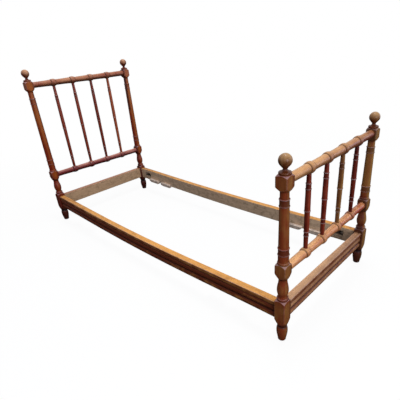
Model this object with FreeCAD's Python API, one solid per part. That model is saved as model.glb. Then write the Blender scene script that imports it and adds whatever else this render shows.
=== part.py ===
import FreeCAD
import Part
import math
import os

# A single bed frame in turned wood, carved to look like bamboo. All sizes are millimetres.
# +X runs from the headboard to the footboard, +Y to the sleeper's left, +Z up from the floor.
# The origin lies on the floor under the middle of the bed.

# Room for the mattress between the side rails and between the end rails
room_length = 1980.0
room_width = 726.0

# Heights of the round rails' axes and of the moulded rails round the mattress
foot_rail_height = 741.0
head_rail_height = 991.0
lower_rail_height = 364.0
bed_rail_bottom = 118.0
bed_rail_height = 82.0
bed_rail_thickness = 34.0

# Fits
glue_clearance = 0.05
end_clearance = 0.5
overrun = 1.0

# Square blanks that the posts are turned from, and how far their corner edges pass each joint
blank_side = 50.0
base_block_above = 10.0
middle_block_below = 11.0
middle_block_above = 24.0
top_block_below = 20.0
top_block_above = 18.0

# Heights of the turned shoulders between a block's corner edges and the round work
toe_shoulder = 30.0
vase_base_shoulder = 11.0
vase_neck_shoulder = 31.0
collar_shoulder = 10.0
shaft_end_shoulder = 18.0
seat_shoulder = 8.0

# Radii of the round work, as shares of half the blank
toe_neck_share = 0.86
vase_base_share = 0.90
vase_neck_share = 0.71
collar_share = 0.94
collar_crest_share = 0.985
shaft_end_share = 0.695
seat_share = 0.94

# Outline of the bulb foot: shares of half the blank and of the height under its shoulder
sole_share = 0.54
sole_round_shares = ((0.665, 0.022), (0.71, 0.08))
bulb_shares = ((0.80, 0.22), (0.925, 0.42), (0.98, 0.60), (0.95, 0.76), (0.87, 0.855))
toe_groove_shares = ((0.80, 0.895), (0.86, 0.935))

# Outline of the vase: shares of half the blank and of the height between its shoulders
vase_bead_shares = ((0.92, 0.03), (0.985, 0.075), (0.92, 0.12))
vase_fillet_shares = ((0.80, 0.125), (0.79, 0.15))
vase_curve_shares = ((0.75, 0.185), (0.90, 0.32), (0.985, 0.475), (0.905, 0.68), (0.765, 0.86))

# Long bamboo shaft: radii under, between and over its rings, and the rings' places up its length
collar_height = 8.0
collar_cove = 5.0
ring_height = 6.0
ring_crest = 2.0
shaft_shares = ((0.885, 0.875), (0.875, 0.85), (0.76, 0.765), (0.765, 0.705))
foot_ring_shares = (0.138, 0.23, 0.813, 0.903)
head_ring_shares = (0.092, 0.151, 0.859, 0.919)

# Ball finial on its disc
finial_ball_radius = 25.0
finial_ball_rise = 49.5
finial_disc_radius = 24.0
finial_disc_height = 8.0
finial_disc_foot = 1.5
finial_neck_radius = 8.3
finial_neck_rise = 19.0
finial_neck_height = 2.0
finial_sweep_shares = ((0.72, 0.16), (0.46, 0.46))
ball_tangent_share = 0.8
finial_tenon_radius = 7.0
finial_tenon_length = 13.0

# Round bamboo rails, with a node round each spindle between two scored grooves
rail_radius = 19.0
rail_tenon_radius = 11.0
rail_tenon_length = 18.0
node_rise = 3.8
node_edge_rise = 1.0
node_width = 35.0
groove_width = 2.6
groove_depth = 1.5
internode_shares = ((0.975, 0.0), (0.985, 0.35), (1.025, 0.75), (1.075, 1.0))
last_internode_shares = ((0.975, 0.0), (0.985, 0.4), (1.0, 1.0))
spindle_count = 4

# Spindles: body radii under and over each ring, and the rings' places up the length in view
spindle_end_radius = 9.3
spindle_stop = 11.0
spindle_ring_height = 5.0
spindle_ring_crest = 1.5
spindle_body_shares = ((1.075, 1.11), (1.11, 1.15), (1.25, 1.31), (1.215, 1.17), (1.17, 1.10))
foot_spindle_ring_shares = (0.176, 0.236, 0.521, 0.808, 0.879)
head_spindle_ring_shares = (0.102, 0.141, 0.495, 0.851, 0.892)

# Moulded rails: a flat top member over two reeds, which hang below the board behind them
moulding_thickness = 15.0
moulding_drop = 8.0
top_member_height = 21.0
quirk_width = 2.0
quirk_depth = 7.0
reed_setback = 1.0
reed_count = 2

# Tenons of the moulded rails, with the wood left round them at their shoulders
twin_tenon_thickness = 12.0
twin_tenon_margin = 7.0
twin_tenon_gap = 24.0
twin_tenon_length = 20.0
stub_tenon_inner_margin = 3.0
stub_tenon_outer_margin = 13.0
stub_tenon_end_margin = 14.0
stub_tenon_length = 10.0

# Bed studs that draw the side rails to the posts, with a nut and washer in an open pocket
stud_rise = 43.0
stud_radius = 5.0
stud_inset = 5.0
stud_hold = 35.0
stud_tip = 5.7
stud_chamfer = 1.0
stud_slack = 0.75
nut_width = 17.0
nut_height = 8.0
nut_chamfer_share = 0.95
nut_chamfer_angle = 30.0
nut_bore_clearance = 0.05
nut_gap = 0.3
washer_radius = 10.0
washer_thickness = 2.0
washer_slack = 0.5
pocket_from_end = 62.0
pocket_length = 70.0
pocket_side_room = 3.5
pocket_back_room = 1.0

# Cleats under the bed base, and how far each one's outer end is from its rail's end
cleat_length = 113.0
cleat_thickness = 22.0
cleat_height = 22.0
cleat_drop = 6.0
cleat_nose_length = 30.0
cleat_nose_height = 12.0
head_outer_cleat_setback = 133.0
head_inner_cleat_setback = 284.0
foot_outer_cleat_setback = 179.0
foot_inner_cleat_setback = 320.0

# Screws that hold the cleats
screw_end_distance = 15.0
screw_head_radius = 4.5
screw_head_height = 3.0
screw_shank_radius = 2.0
screw_point = 4.0
screw_sink = 3.0
screw_hold = 13.0
screw_slack = 0.3

# Places that follow from the sizes above
half_blank = blank_side / 2
corner_radius = half_blank * math.sqrt(2)
post_x = (room_length + bed_rail_thickness) / 2
post_y = (room_width + bed_rail_thickness) / 2
end_shoulder = post_x - half_blank
side_shoulder = post_y - half_blank
bed_rail_top = bed_rail_bottom + bed_rail_height
stud_y = post_y - stud_inset
stud_z = bed_rail_bottom + stud_rise
node_radius = rail_radius + node_rise
node_edge_radius = rail_radius + node_edge_rise
spindle_pitch = 2 * side_shoulder / (spindle_count + 1)
spindle_places = [(n - (spindle_count - 1) / 2) * spindle_pitch for n in range(spindle_count)]
nut_corner_radius = nut_width / math.sqrt(3)
pocket_wall = end_shoulder - pocket_from_end
nut_outer = pocket_wall - washer_thickness - nut_gap
stud_inner = nut_outer - nut_height - stud_tip
cleat_bottom = bed_rail_bottom - cleat_drop
cleat_face = room_width / 2 - cleat_thickness

# Each end and side of the bed: which way it lies, and what belongs to it
ends = {"head": -1, "foot": 1}
sides = {"right": -1, "left": 1}
headings = {"head": 180, "foot": 0, "left": 90, "right": -90}
rail_heights = {"head": head_rail_height, "foot": foot_rail_height}
ring_shares = {"head": head_ring_shares, "foot": foot_ring_shares}
spindle_ring_shares = {"head": head_spindle_ring_shares, "foot": foot_spindle_ring_shares}
cleat_setbacks = {"head": {"outer": head_outer_cleat_setback, "inner": head_inner_cleat_setback},
                  "foot": {"outer": foot_outer_cleat_setback, "inner": foot_inner_cleat_setback}}

origin = FreeCAD.Vector()
axis_x = FreeCAD.Vector(1, 0, 0)
axis_y = FreeCAD.Vector(0, 1, 0)
axis_z = FreeCAD.Vector(0, 0, 1)

# Room at a joint's sides and bottom, and how far its cut starts before the surface
tenon_fit = (0, 0, 0)
mortise_fit = (glue_clearance, end_clearance, overrun)


class Outline:
    """Half section of turned work, drawn up from a point on the axis as radius and height."""

    def __init__(self, height):
        self.start = FreeCAD.Vector(0, 0, height)
        self.here = self.start
        self.edges = []

    def line(self, radius, height):
        """Add a straight run."""
        there = FreeCAD.Vector(radius, 0, height)
        self.edges.append(Part.makeLine(self.here, there))
        self.here = there

    def arc(self, middle, end):
        """Add an arc through a middle place to an end place, each a radius and height."""
        through = FreeCAD.Vector(middle[0], 0, middle[1])
        there = FreeCAD.Vector(end[0], 0, end[1])
        self.edges.append(Part.Arc(self.here, through, there).toShape())
        self.here = there

    def curve(self, places):
        """Add one smooth curve through all the places."""
        points = [self.here] + [FreeCAD.Vector(radius, 0, height) for radius, height in places]
        spline = Part.BSplineCurve()
        spline.interpolate(points)
        self.edges.append(spline.toShape())
        self.here = points[-1]

    def bead(self, crest, radius, height):
        """Add a round bead that is proudest half way to its end."""
        self.arc((crest, (self.here.z + height) / 2), (radius, height))

    def ridge(self, crest, radius, height):
        """Add a sharp bamboo ring, with its crest half way to its end."""
        self.line(crest, (self.here.z + height) / 2)
        self.line(radius, height)

    def turned(self):
        """Close the section along the axis and turn it into a solid."""
        if self.here.x > 0:
            self.line(0, self.here.z)
        self.edges.append(Part.makeLine(self.here, self.start))
        face = Part.Face(Part.Wire(self.edges))
        return face.revolve(origin, axis_z, 360)


def spread(shares, radius, bottom, height):
    """Places of an outline whose shares follow a radius and a stretch of height."""
    return [(across * radius, bottom + up * height) for across, up in shares]


def box_between(low, high):
    """Box between its lowest and highest corners."""
    size = high - low
    return Part.makeBox(size.x, size.y, size.z, low)


def headed(shape, heading, place):
    """Turn a shape that points along +X to another heading, and set it at its place."""
    shape.rotate(origin, axis_z, heading)
    shape.translate(place)
    return shape


def tongue(length, width, low, high, fit):
    """Flat tenon from a shoulder at x = 0, or the mortise for it where the fit gives room."""
    side_room, end_room, mouth = fit
    return box_between(FreeCAD.Vector(-mouth, -width / 2 - side_room, low - side_room),
                       FreeCAD.Vector(length + end_room, width / 2 + side_room, high + side_room))


def peg(radius, length, fit):
    """Round tenon from a shoulder at x = 0, or the bore for it where the fit gives room."""
    side_room, end_room, mouth = fit
    start = FreeCAD.Vector(-mouth, 0, 0)
    return Part.makeCylinder(radius + side_room, mouth + length + end_room, start, axis_x)


def past_corner(neck_radius, neck_height, corner_height):
    """Height at which a shoulder's cone, run on past the corner edges, leaves the blank."""
    slope = (corner_height - neck_height) / (corner_radius - neck_radius)
    return corner_height + slope * overrun


def add_block(outline, low, high, high_neck):
    """Add a square block between cones, from the last place to the neck over its upper one."""
    low_neck = (outline.here.x, outline.here.z)
    outline.line(corner_radius + overrun, past_corner(*low_neck, low))
    outline.line(corner_radius + overrun, past_corner(*high_neck, high))
    outline.line(*high_neck)


def seat_height(end):
    """Height of the flat on a post that carries its finial."""
    return rail_heights[end] + top_block_above + seat_shoulder


def add_foot(outline):
    """Add the sole, the bulb and the groove over it, up to the first shoulder."""
    top = outline.start.z + bed_rail_bottom - toe_shoulder
    outline.line(sole_share * half_blank, 0)
    outline.arc(*spread(sole_round_shares, half_blank, 0, top))
    outline.curve(spread(bulb_shares, half_blank, 0, top))
    outline.arc(*spread(toe_groove_shares, half_blank, 0, top))
    outline.line(toe_neck_share * half_blank, top)


def add_vase(outline, low, high):
    """Add the base bead, the fillet and the vase between two blocks."""
    foot, crest, top = spread(vase_bead_shares, half_blank, low, high - low)
    outline.line(*foot)
    outline.arc(crest, top)
    for place in spread(vase_fillet_shares, half_blank, low, high - low):
        outline.line(*place)
    neck = (vase_neck_share * half_blank, high)
    outline.curve(spread(vase_curve_shares, half_blank, low, high - low) + [neck])


def add_shaft(outline, end, low, high):
    """Add the collar and the long shaft with its two pairs of rings."""
    collar_radius = collar_share * half_blank
    first_radius = shaft_shares[0][0] * half_blank
    outline.bead(collar_crest_share * half_blank, collar_radius, low + collar_height)
    cove_middle = ((collar_radius + 3 * first_radius) / 4, low + collar_height + collar_cove / 4)
    outline.arc(cove_middle, (first_radius, low + collar_height + collar_cove))
    for share, (under, over) in zip(ring_shares[end], shaft_shares):
        middle = low + share * (high - low)
        outline.line(under * half_blank, middle - ring_height / 2)
        outline.ridge(under * half_blank + ring_crest, over * half_blank, middle + ring_height / 2)
    outline.line(shaft_end_share * half_blank, high)


def post_body(end):
    """Turned post before its joints are cut, standing on the origin."""
    base_low = bed_rail_bottom
    base_high = bed_rail_top + base_block_above
    middle_low = lower_rail_height - middle_block_below
    middle_high = lower_rail_height + middle_block_above
    top_low = rail_heights[end] - top_block_below
    top_high = rail_heights[end] + top_block_above
    vase_low = base_high + vase_base_shoulder
    shaft_low = middle_high + collar_shoulder
    outline = Outline(0)
    add_foot(outline)
    add_block(outline, base_low, base_high, (vase_base_share * half_blank, vase_low))
    add_vase(outline, vase_low, middle_low - vase_neck_shoulder)
    add_block(outline, middle_low, middle_high, (collar_share * half_blank, shaft_low))
    add_shaft(outline, end, shaft_low, top_low - shaft_end_shoulder)
    add_block(outline, top_low, top_high, (seat_share * half_blank, seat_height(end)))
    blank = box_between(FreeCAD.Vector(-half_blank, -half_blank, 0),
                        FreeCAD.Vector(half_blank, half_blank, seat_height(end)))
    return outline.turned().common(blank)


def stub_tenon(end, side, fit):
    """Tenon at a side rail's end, round its stud, or the mortise for it."""
    inner = room_width / 2 + stub_tenon_inner_margin
    outer = room_width / 2 + bed_rail_thickness - stub_tenon_outer_margin
    tenon = tongue(stub_tenon_length, outer - inner, bed_rail_bottom + stub_tenon_end_margin,
                   bed_rail_top - stub_tenon_end_margin, fit)
    place = FreeCAD.Vector(ends[end] * end_shoulder, sides[side] * (inner + outer) / 2, 0)
    return headed(tenon, headings[end], place)


def twin_tenons(end, side, fit):
    """Two tenons at a cross rail's end that pass under and over the stud, or their mortises."""
    tenons = []
    levels = ((bed_rail_bottom + twin_tenon_margin, stud_z - twin_tenon_gap / 2),
              (stud_z + twin_tenon_gap / 2, bed_rail_top - twin_tenon_margin))
    for low, high in levels:
        tenon = tongue(twin_tenon_length, twin_tenon_thickness, low, high, fit)
        place = FreeCAD.Vector(ends[end] * post_x, sides[side] * side_shoulder, 0)
        tenons.append(headed(tenon, headings[side], place))
    return tenons


def post(end, side):
    """Turned post with the mortises and bores for all that is let into it."""
    shape = post_body(end)
    shape.translate(FreeCAD.Vector(ends[end] * post_x, sides[side] * post_y, 0))
    cuts = [stub_tenon(end, side, mortise_fit)] + twin_tenons(end, side, mortise_fit)
    stud_mouth = FreeCAD.Vector(ends[end] * end_shoulder, sides[side] * stud_y, stud_z)
    cuts.append(headed(peg(stud_radius, stud_hold, mortise_fit), headings[end], stud_mouth))
    for height in (lower_rail_height, rail_heights[end]):
        mouth = FreeCAD.Vector(ends[end] * post_x, sides[side] * side_shoulder, height)
        bore = peg(rail_tenon_radius, rail_tenon_length, mortise_fit)
        cuts.append(headed(bore, headings[side], mouth))
    bore_bottom = seat_height(end) - finial_tenon_length - end_clearance
    cuts.append(Part.makeCylinder(finial_tenon_radius + glue_clearance, seat_height(end),
                                  FreeCAD.Vector(ends[end] * post_x, sides[side] * post_y,
                                                 bore_bottom)))
    return shape.cut(cuts)


def finial(end, side):
    """Ball finial on its disc, with a tenon for the seat on its post."""
    seat = seat_height(end)
    disc_low = seat + finial_disc_foot
    disc_high = disc_low + finial_disc_height
    disc_edge = finial_disc_radius - finial_disc_foot
    neck = seat + finial_neck_rise
    ball = seat + finial_ball_rise
    ball_low = ball - finial_ball_radius * math.sqrt(1 - ball_tangent_share ** 2)
    outline = Outline(seat - finial_tenon_length)
    outline.line(finial_tenon_radius, seat - finial_tenon_length)
    outline.line(finial_tenon_radius, seat)
    outline.line(disc_edge, seat)
    outline.line(disc_edge, disc_low)
    outline.bead(finial_disc_radius, disc_edge, disc_high)
    outline.curve(spread(finial_sweep_shares, finial_disc_radius, disc_high, neck - disc_high)
                  + [(finial_neck_radius, neck)])
    outline.line(finial_neck_radius, neck + finial_neck_height)
    outline.line(ball_tangent_share * finial_ball_radius, ball_low)
    outline.arc((finial_ball_radius, ball), (0, ball + finial_ball_radius))
    shape = outline.turned()
    shape.translate(FreeCAD.Vector(ends[end] * post_x, sides[side] * post_y, 0))
    return shape


def add_internode(outline, shares, end):
    """Add the plain stretch from a groove, or a post, to the next one."""
    start = outline.here.z
    places = [(across * rail_radius, start + along * (end - start)) for across, along in shares]
    outline.curve(places[1:])


def add_groove(outline, middle, radius):
    """Add the scored groove at a node's edge, and leave it at the radius beyond it."""
    outline.line(min(outline.here.x, radius) - groove_depth, middle)
    outline.line(radius, middle + groove_width / 2)


def round_rail(end, height, spindle_way):
    """Bamboo rail between two posts, bored above or below its axis for the spindles."""
    outline = Outline(-side_shoulder - rail_tenon_length)
    outline.line(rail_tenon_radius, -side_shoulder - rail_tenon_length)
    outline.line(rail_tenon_radius, -side_shoulder)
    outline.line(internode_shares[0][0] * rail_radius, -side_shoulder)
    for place in spindle_places:
        low = place - node_width / 2
        high = place + node_width / 2
        add_internode(outline, internode_shares, low - groove_width / 2)
        add_groove(outline, low, node_edge_radius)
        outline.bead(node_radius, node_edge_radius, high - groove_width / 2)
        add_groove(outline, high, internode_shares[0][0] * rail_radius)
    add_internode(outline, last_internode_shares, side_shoulder)
    outline.line(rail_tenon_radius, side_shoulder)
    outline.line(rail_tenon_radius, side_shoulder + rail_tenon_length)
    rail = outline.turned()
    rail.rotate(origin, axis_x, -90)
    rail.translate(FreeCAD.Vector(ends[end] * post_x, 0, height))
    bores = []
    for place in spindle_places:
        bottom = spindle_way * (spindle_stop - end_clearance)
        start = FreeCAD.Vector(ends[end] * post_x, place, height + bottom)
        bores.append(Part.makeCylinder(spindle_end_radius + glue_clearance, node_radius,
                                       start, axis_z * spindle_way))
    return rail.cut(bores)


def spindle(end, place):
    """Bamboo spindle housed in the nodes of the rails under and over it."""
    bottom = lower_rail_height + spindle_stop
    top = rail_heights[end] - spindle_stop
    low = lower_rail_height + node_radius
    high = rail_heights[end] - node_radius
    outline = Outline(bottom)
    outline.line(spindle_end_radius, bottom)
    outline.line(spindle_end_radius, low)
    for share, (under, over) in zip(spindle_ring_shares[end], spindle_body_shares):
        middle = low + share * (high - low)
        radius = under * spindle_end_radius
        outline.line(radius, middle - spindle_ring_height / 2)
        outline.ridge(radius + spindle_ring_crest, over * spindle_end_radius,
                      middle + spindle_ring_height / 2)
    outline.line(spindle_end_radius, high)
    outline.line(spindle_end_radius, top)
    shape = outline.turned()
    shape.translate(FreeCAD.Vector(ends[end] * post_x, place, 0))
    return shape


def moulded_bar(length):
    """Moulded rail along X from its middle, its plain inner face from y = 0 and z = 0 upwards."""
    outer = bed_rail_thickness
    moulding_back = outer - moulding_thickness
    reed_foot = outer - quirk_depth
    reed_crest = outer - reed_setback
    reeded_height = bed_rail_height + moulding_drop - top_member_height
    reed_height = reeded_height / reed_count - quirk_width
    corners = [(reed_foot, -moulding_drop), (moulding_back, -moulding_drop), (moulding_back, 0),
               (0, 0), (0, bed_rail_height), (outer, bed_rail_height),
               (outer, bed_rail_height - top_member_height),
               (reed_foot, bed_rail_height - top_member_height)]
    points = [FreeCAD.Vector(-length / 2, across, up) for across, up in corners]
    edges = [Part.makeLine(start, end) for start, end in zip(points, points[1:])]
    for n in range(reed_count):
        top = corners[-1][1] - n * (reed_height + quirk_width) - quirk_width
        high = FreeCAD.Vector(-length / 2, reed_foot, top)
        crest = FreeCAD.Vector(-length / 2, reed_crest, top - reed_height / 2)
        low = FreeCAD.Vector(-length / 2, reed_foot, top - reed_height)
        edges.append(Part.makeLine(edges[-1].Vertexes[-1].Point, high))
        edges.append(Part.Arc(high, crest, low).toShape())
    section = Part.Face(Part.Wire(edges))
    return section.extrude(axis_x * length)


def cross_rail(end):
    """Moulded rail between two posts, its reeds facing out, with its twin tenons."""
    rail = moulded_bar(2 * side_shoulder)
    place = FreeCAD.Vector(ends[end] * room_length / 2, 0, bed_rail_bottom)
    rail = headed(rail, headings[end] - headings["left"], place)
    for side in sides:
        rail = rail.fuse(twin_tenons(end, side, tenon_fit))
    return rail


def pocket(end, side):
    """Open pocket for a nut, flat where the washer bears and half round at its other end."""
    half_height = max(nut_corner_radius, washer_radius) + pocket_side_room
    depth_end = stud_y + max(nut_corner_radius, washer_radius) + pocket_back_room
    depth = depth_end - room_width / 2 + overrun
    round_x = pocket_wall - pocket_length + half_height
    recess = box_between(FreeCAD.Vector(round_x, 0, -half_height),
                         FreeCAD.Vector(pocket_wall, depth, half_height))
    recess = recess.fuse(Part.makeCylinder(half_height, depth, FreeCAD.Vector(round_x, 0, 0), axis_y))
    if ends[end] != sides[side]:
        recess = recess.mirror(origin, axis_x)
    place = FreeCAD.Vector(0, sides[side] * (room_width / 2 - overrun), stud_z)
    return headed(recess, 0 if side == "left" else 180, place)


def cleat_span(end, row):
    """Distances from the bed's middle to the inner and outer ends of a cleat."""
    outer = end_shoulder - cleat_setbacks[end][row]
    return outer - cleat_length, outer


def screw_places(side):
    """Points on the cleats' inner faces where one side's screws go in."""
    places = []
    for end in ends:
        for row in cleat_setbacks[end]:
            inner, outer = cleat_span(end, row)
            for along in (inner + screw_end_distance, outer - screw_end_distance):
                places.append(FreeCAD.Vector(ends[end] * along, sides[side] * cleat_face,
                                             cleat_bottom + cleat_height / 2))
    return places


def side_rail(side):
    """Moulded rail beside the mattress, with its stub tenons, stud bores and nut pockets."""
    rail = moulded_bar(2 * end_shoulder)
    place = FreeCAD.Vector(0, sides[side] * room_width / 2, bed_rail_bottom)
    rail = headed(rail, headings[side] - headings["left"], place)
    cuts = []
    for end in ends:
        rail = rail.fuse(stub_tenon(end, side, tenon_fit))
        bore = Part.makeCylinder(stud_radius + stud_slack, pocket_from_end + stub_tenon_length + overrun,
                                 FreeCAD.Vector(pocket_wall, 0, 0), axis_x)
        cuts.append(headed(bore, headings[end], FreeCAD.Vector(0, sides[side] * stud_y, stud_z)))
        cuts.append(pocket(end, side))
    for place in screw_places(side):
        hole = peg(screw_shank_radius, cleat_thickness + screw_hold, mortise_fit)
        cuts.append(headed(hole, headings[side], place))
    return rail.cut(cuts)


def cleat(end, side, row):
    """Block under the bed base, its lower outer corner rounded up from its foot."""
    inner, outer = cleat_span(end, row)
    top = cleat_bottom + cleat_height
    nose_radius = (cleat_nose_length ** 2 + cleat_nose_height ** 2) / (2 * cleat_nose_height)
    nose_half_turn = math.asin(cleat_nose_length / nose_radius) / 2
    nose_start = FreeCAD.Vector(outer, 0, cleat_bottom + cleat_nose_height)
    nose_end = FreeCAD.Vector(outer - cleat_nose_length, 0, cleat_bottom)
    nose_middle = nose_end + FreeCAD.Vector(nose_radius * math.sin(nose_half_turn), 0,
                                            nose_radius * (1 - math.cos(nose_half_turn)))
    corners = [nose_end, FreeCAD.Vector(inner, 0, cleat_bottom), FreeCAD.Vector(inner, 0, top),
               FreeCAD.Vector(outer, 0, top), nose_start]
    edges = [Part.makeLine(start, finish) for start, finish in zip(corners, corners[1:])]
    edges.append(Part.Arc(nose_start, nose_middle, nose_end).toShape())
    block = Part.Face(Part.Wire(edges)).extrude(axis_y * cleat_thickness)
    if ends[end] != sides[side]:
        block = block.mirror(origin, axis_x)
    heading = headings[side] - headings["left"]
    block = headed(block, heading, FreeCAD.Vector(0, sides[side] * cleat_face, 0))
    cuts = []
    for place in screw_places(side):
        sunk = peg(screw_head_radius, screw_sink + screw_head_height, (screw_slack, 0, overrun))
        hole = peg(screw_shank_radius, cleat_thickness, (screw_slack, overrun, overrun))
        cuts += [headed(sunk, headings[side], place), headed(hole, headings[side], place)]
    return block.cut(cuts)


def cleat_screws(side):
    """All the cleat screws of one side, each a solid of its own."""
    head_end = screw_sink + screw_head_height
    tip = cleat_thickness + screw_hold
    screws = []
    for place in screw_places(side):
        outline = Outline(screw_sink)
        outline.line(screw_head_radius, screw_sink)
        outline.line(screw_head_radius, head_end)
        outline.line(screw_shank_radius, head_end)
        outline.line(screw_shank_radius, tip - screw_point)
        outline.line(0, tip)
        screw = outline.turned()
        screw.rotate(origin, axis_y, 90)
        screws.append(headed(screw, headings[side], place))
    return Part.makeCompound(screws)


def stud(end, side):
    """Threaded stud from a post, through the rail's end into its pocket."""
    tip = end_shoulder + stud_hold
    outline = Outline(stud_inner)
    outline.line(stud_radius - stud_chamfer, stud_inner)
    outline.line(stud_radius, stud_inner + stud_chamfer)
    outline.line(stud_radius, tip - stud_chamfer)
    outline.line(stud_radius - stud_chamfer, tip)
    return on_stud(outline.turned(), end, side)


def nut(end, side):
    """Hexagon nut with its corners chamfered at both ends."""
    flat = nut_chamfer_share * nut_width / 2
    rise = (nut_corner_radius - flat) * math.tan(math.radians(nut_chamfer_angle))
    inner = nut_outer - nut_height
    outline = Outline(inner)
    outline.line(flat, inner)
    outline.line(nut_corner_radius, inner + rise)
    outline.line(nut_corner_radius, nut_outer - rise)
    outline.line(flat, nut_outer)
    corners = [FreeCAD.Vector(nut_corner_radius * math.cos(n * math.pi / 3),
                              nut_corner_radius * math.sin(n * math.pi / 3), inner)
               for n in range(7)]
    prism = Part.Face(Part.makePolygon(corners)).extrude(axis_z * nut_height)
    bore = Part.makeCylinder(stud_radius + nut_bore_clearance, nut_height,
                             FreeCAD.Vector(0, 0, inner))
    return on_stud(prism.common(outline.turned()).cut(bore), end, side)


def washer(end, side):
    """Flat washer between a nut and the flat wall of its pocket."""
    inner = pocket_wall - washer_thickness
    start = FreeCAD.Vector(0, 0, inner)
    disc = Part.makeCylinder(washer_radius, washer_thickness, start)
    bore = Part.makeCylinder(stud_radius + washer_slack, washer_thickness, start)
    return on_stud(disc.cut(bore), end, side)


def on_stud(shape, end, side):
    """Lay a piece made up the Z axis along a stud's line, at its distance from the middle."""
    shape.rotate(origin, axis_y, 90)
    return headed(shape, headings[end], FreeCAD.Vector(0, sides[side] * stud_y, stud_z))


def pieces():
    """Every piece of the bed by its name."""
    made = {}
    for end in ends:
        made[end + "_lower_rail"] = round_rail(end, lower_rail_height, 1)
        made[end + "_top_rail"] = round_rail(end, rail_heights[end], -1)
        made[end + "_cross_rail"] = cross_rail(end)
        for n, place in enumerate(spindle_places, 1):
            made[f"{end}_spindle_{n}"] = spindle(end, place)
        for side in sides:
            made[f"{end}_post_{side}"] = post(end, side)
            made[f"{end}_finial_{side}"] = finial(end, side)
            made[f"{end}_stud_{side}"] = stud(end, side)
            made[f"{end}_nut_{side}"] = nut(end, side)
            made[f"{end}_washer_{side}"] = washer(end, side)
            for row in cleat_setbacks[end]:
                made[f"{end}_{row}_cleat_{side}"] = cleat(end, side, row)
    for side in sides:
        made["side_rail_" + side] = side_rail(side)
        made["cleat_screws_" + side] = cleat_screws(side)
    return made


os.makedirs("parts", exist_ok=True)
for node, shape in pieces().items():
    shape.exportStep("parts/" + node + ".step")
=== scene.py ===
import logging
import math
from dataclasses import dataclass
from enum import Enum

import bmesh
import bpy
import numpy as np
from mathutils import Euler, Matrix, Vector


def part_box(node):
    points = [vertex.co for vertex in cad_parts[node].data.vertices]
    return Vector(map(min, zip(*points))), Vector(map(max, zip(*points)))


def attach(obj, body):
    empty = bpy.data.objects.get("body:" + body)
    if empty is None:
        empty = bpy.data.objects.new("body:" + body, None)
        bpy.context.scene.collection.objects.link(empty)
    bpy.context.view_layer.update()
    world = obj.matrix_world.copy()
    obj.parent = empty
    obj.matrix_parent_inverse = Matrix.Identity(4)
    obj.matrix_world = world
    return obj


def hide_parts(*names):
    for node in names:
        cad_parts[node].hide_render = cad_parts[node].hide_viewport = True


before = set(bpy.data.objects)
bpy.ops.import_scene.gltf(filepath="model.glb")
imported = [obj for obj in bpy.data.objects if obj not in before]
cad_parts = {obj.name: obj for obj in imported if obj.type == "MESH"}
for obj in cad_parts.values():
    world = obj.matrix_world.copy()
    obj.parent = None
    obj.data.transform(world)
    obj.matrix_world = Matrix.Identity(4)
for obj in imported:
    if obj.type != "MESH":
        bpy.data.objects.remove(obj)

# A single bed in turned wood that is carved to look like bamboo: its surfaces, finishes, lights and
# camera. Outlines are drawn in millimetres and made metres when a surface is placed.

LOG = logging.getLogger("bamboo_bed")
BODY = "bedstead"
MM = 0.001

# How finely an outline is sampled before its rows are chosen, how far it looks round for hollows,
# and the slope past which work counts as sloping
SAMPLE_STEP = 0.2
RELIEF_REACH = 4.0
SLOPING = 0.1

# Points that draw an arc, and points for each knot of a curve
ARC_POINTS = 25
CURVE_POINTS = 12

# The shares of a bead's height and of a hollow's depth where rubbing with its painted highlight, and the
# darkening of hollows, begin
RUB_AND_HIGHLIGHT_START, HOLLOW_DARKENING_START = 0.3, 0.25

# Points nearer than this are one, in metres, and on a copy of a CAD node's mesh
WELD, CAD_WELD = 1e-6, 1e-5

# The least rise between two rows that a slope is measured over, in millimetres
LEAST_RISE = 1e-3

# Faces that meet at less than this angle are one flat face
FLAT = math.radians(1)

# How far a visible piece runs on into the piece that houses it
HOUSING = 2.0

# The whole of a share, and the span that nearly all of a noise's values lie in
WHOLE, NOISE_SPAN = (0.0, 1.0), (0.3, 0.7)

# Sockets of the colour mix node: the share and the two colours
SHARE, FIRST, SECOND = 0, 6, 7

# A right angle, which is how far apart the corners of a square blank lie
QUARTER = math.radians(90)

Array = np.ndarray
Point = tuple[float, float]
Triple = tuple[float, float, float]


class End(Enum):
    """An end of the bed."""

    HEAD = "head"
    FOOT = "foot"


class Side(Enum):
    """A side of the bed, as the sleeper lies."""

    RIGHT = "right"
    LEFT = "left"


class Run(Enum):
    """The way that a piece runs, which is the way of its grain."""

    LENGTHWISE = 0
    CROSSWISE = 1
    UPRIGHT = 2


class Row(Enum):
    """A row of cleats along a side rail."""

    OUTER = "outer"
    INNER = "inner"


OUTWARD = {End.HEAD: -1, End.FOOT: 1, Side.RIGHT: -1, Side.LEFT: 1}


def linear(colour: str) -> tuple[float, float, float, float]:
    """Turns an sRGB hex colour to linear light.

    Args:
        colour: six hex digits after a hash sign.

    Returns:
        Red, green, blue and an opacity of one.
    """
    shares = np.array([int(colour[n:n + 2], 16) / 255 for n in (1, 3, 5)])
    low, high = shares / 12.92, ((shares + 0.055) / 1.055) ** 2.4
    red, green, blue = np.where(shares <= 0.04045, low, high)
    return float(red), float(green), float(blue), 1.0


def smooth_step(low: float, high: float, value: Array) -> Array:
    """Rises from 0 at low to 1 at high as t squared times (3 - 2t)."""
    share = np.clip((value - low) / (high - low), 0, 1)
    return share * share * (3 - 2 * share)


def soft_least(first: Array, second: Array, width: float) -> Array:
    """The smaller of two values, less a parabola of their difference where that is under a width."""
    share = np.clip(0.5 + 0.5 * (second - first) / width, 0, 1)
    return second * (1 - share) + first * share - width * share * (1 - share)


def hang(along: Array, half_length: float, depth: float) -> Array:
    """How low an old rail hangs: a depth times (1 - t squared) to the power 1.5, t along its half."""
    share = np.clip(np.abs(along) / half_length, 0, 1)
    return depth * (1 - share ** 2) ** 1.5


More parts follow.
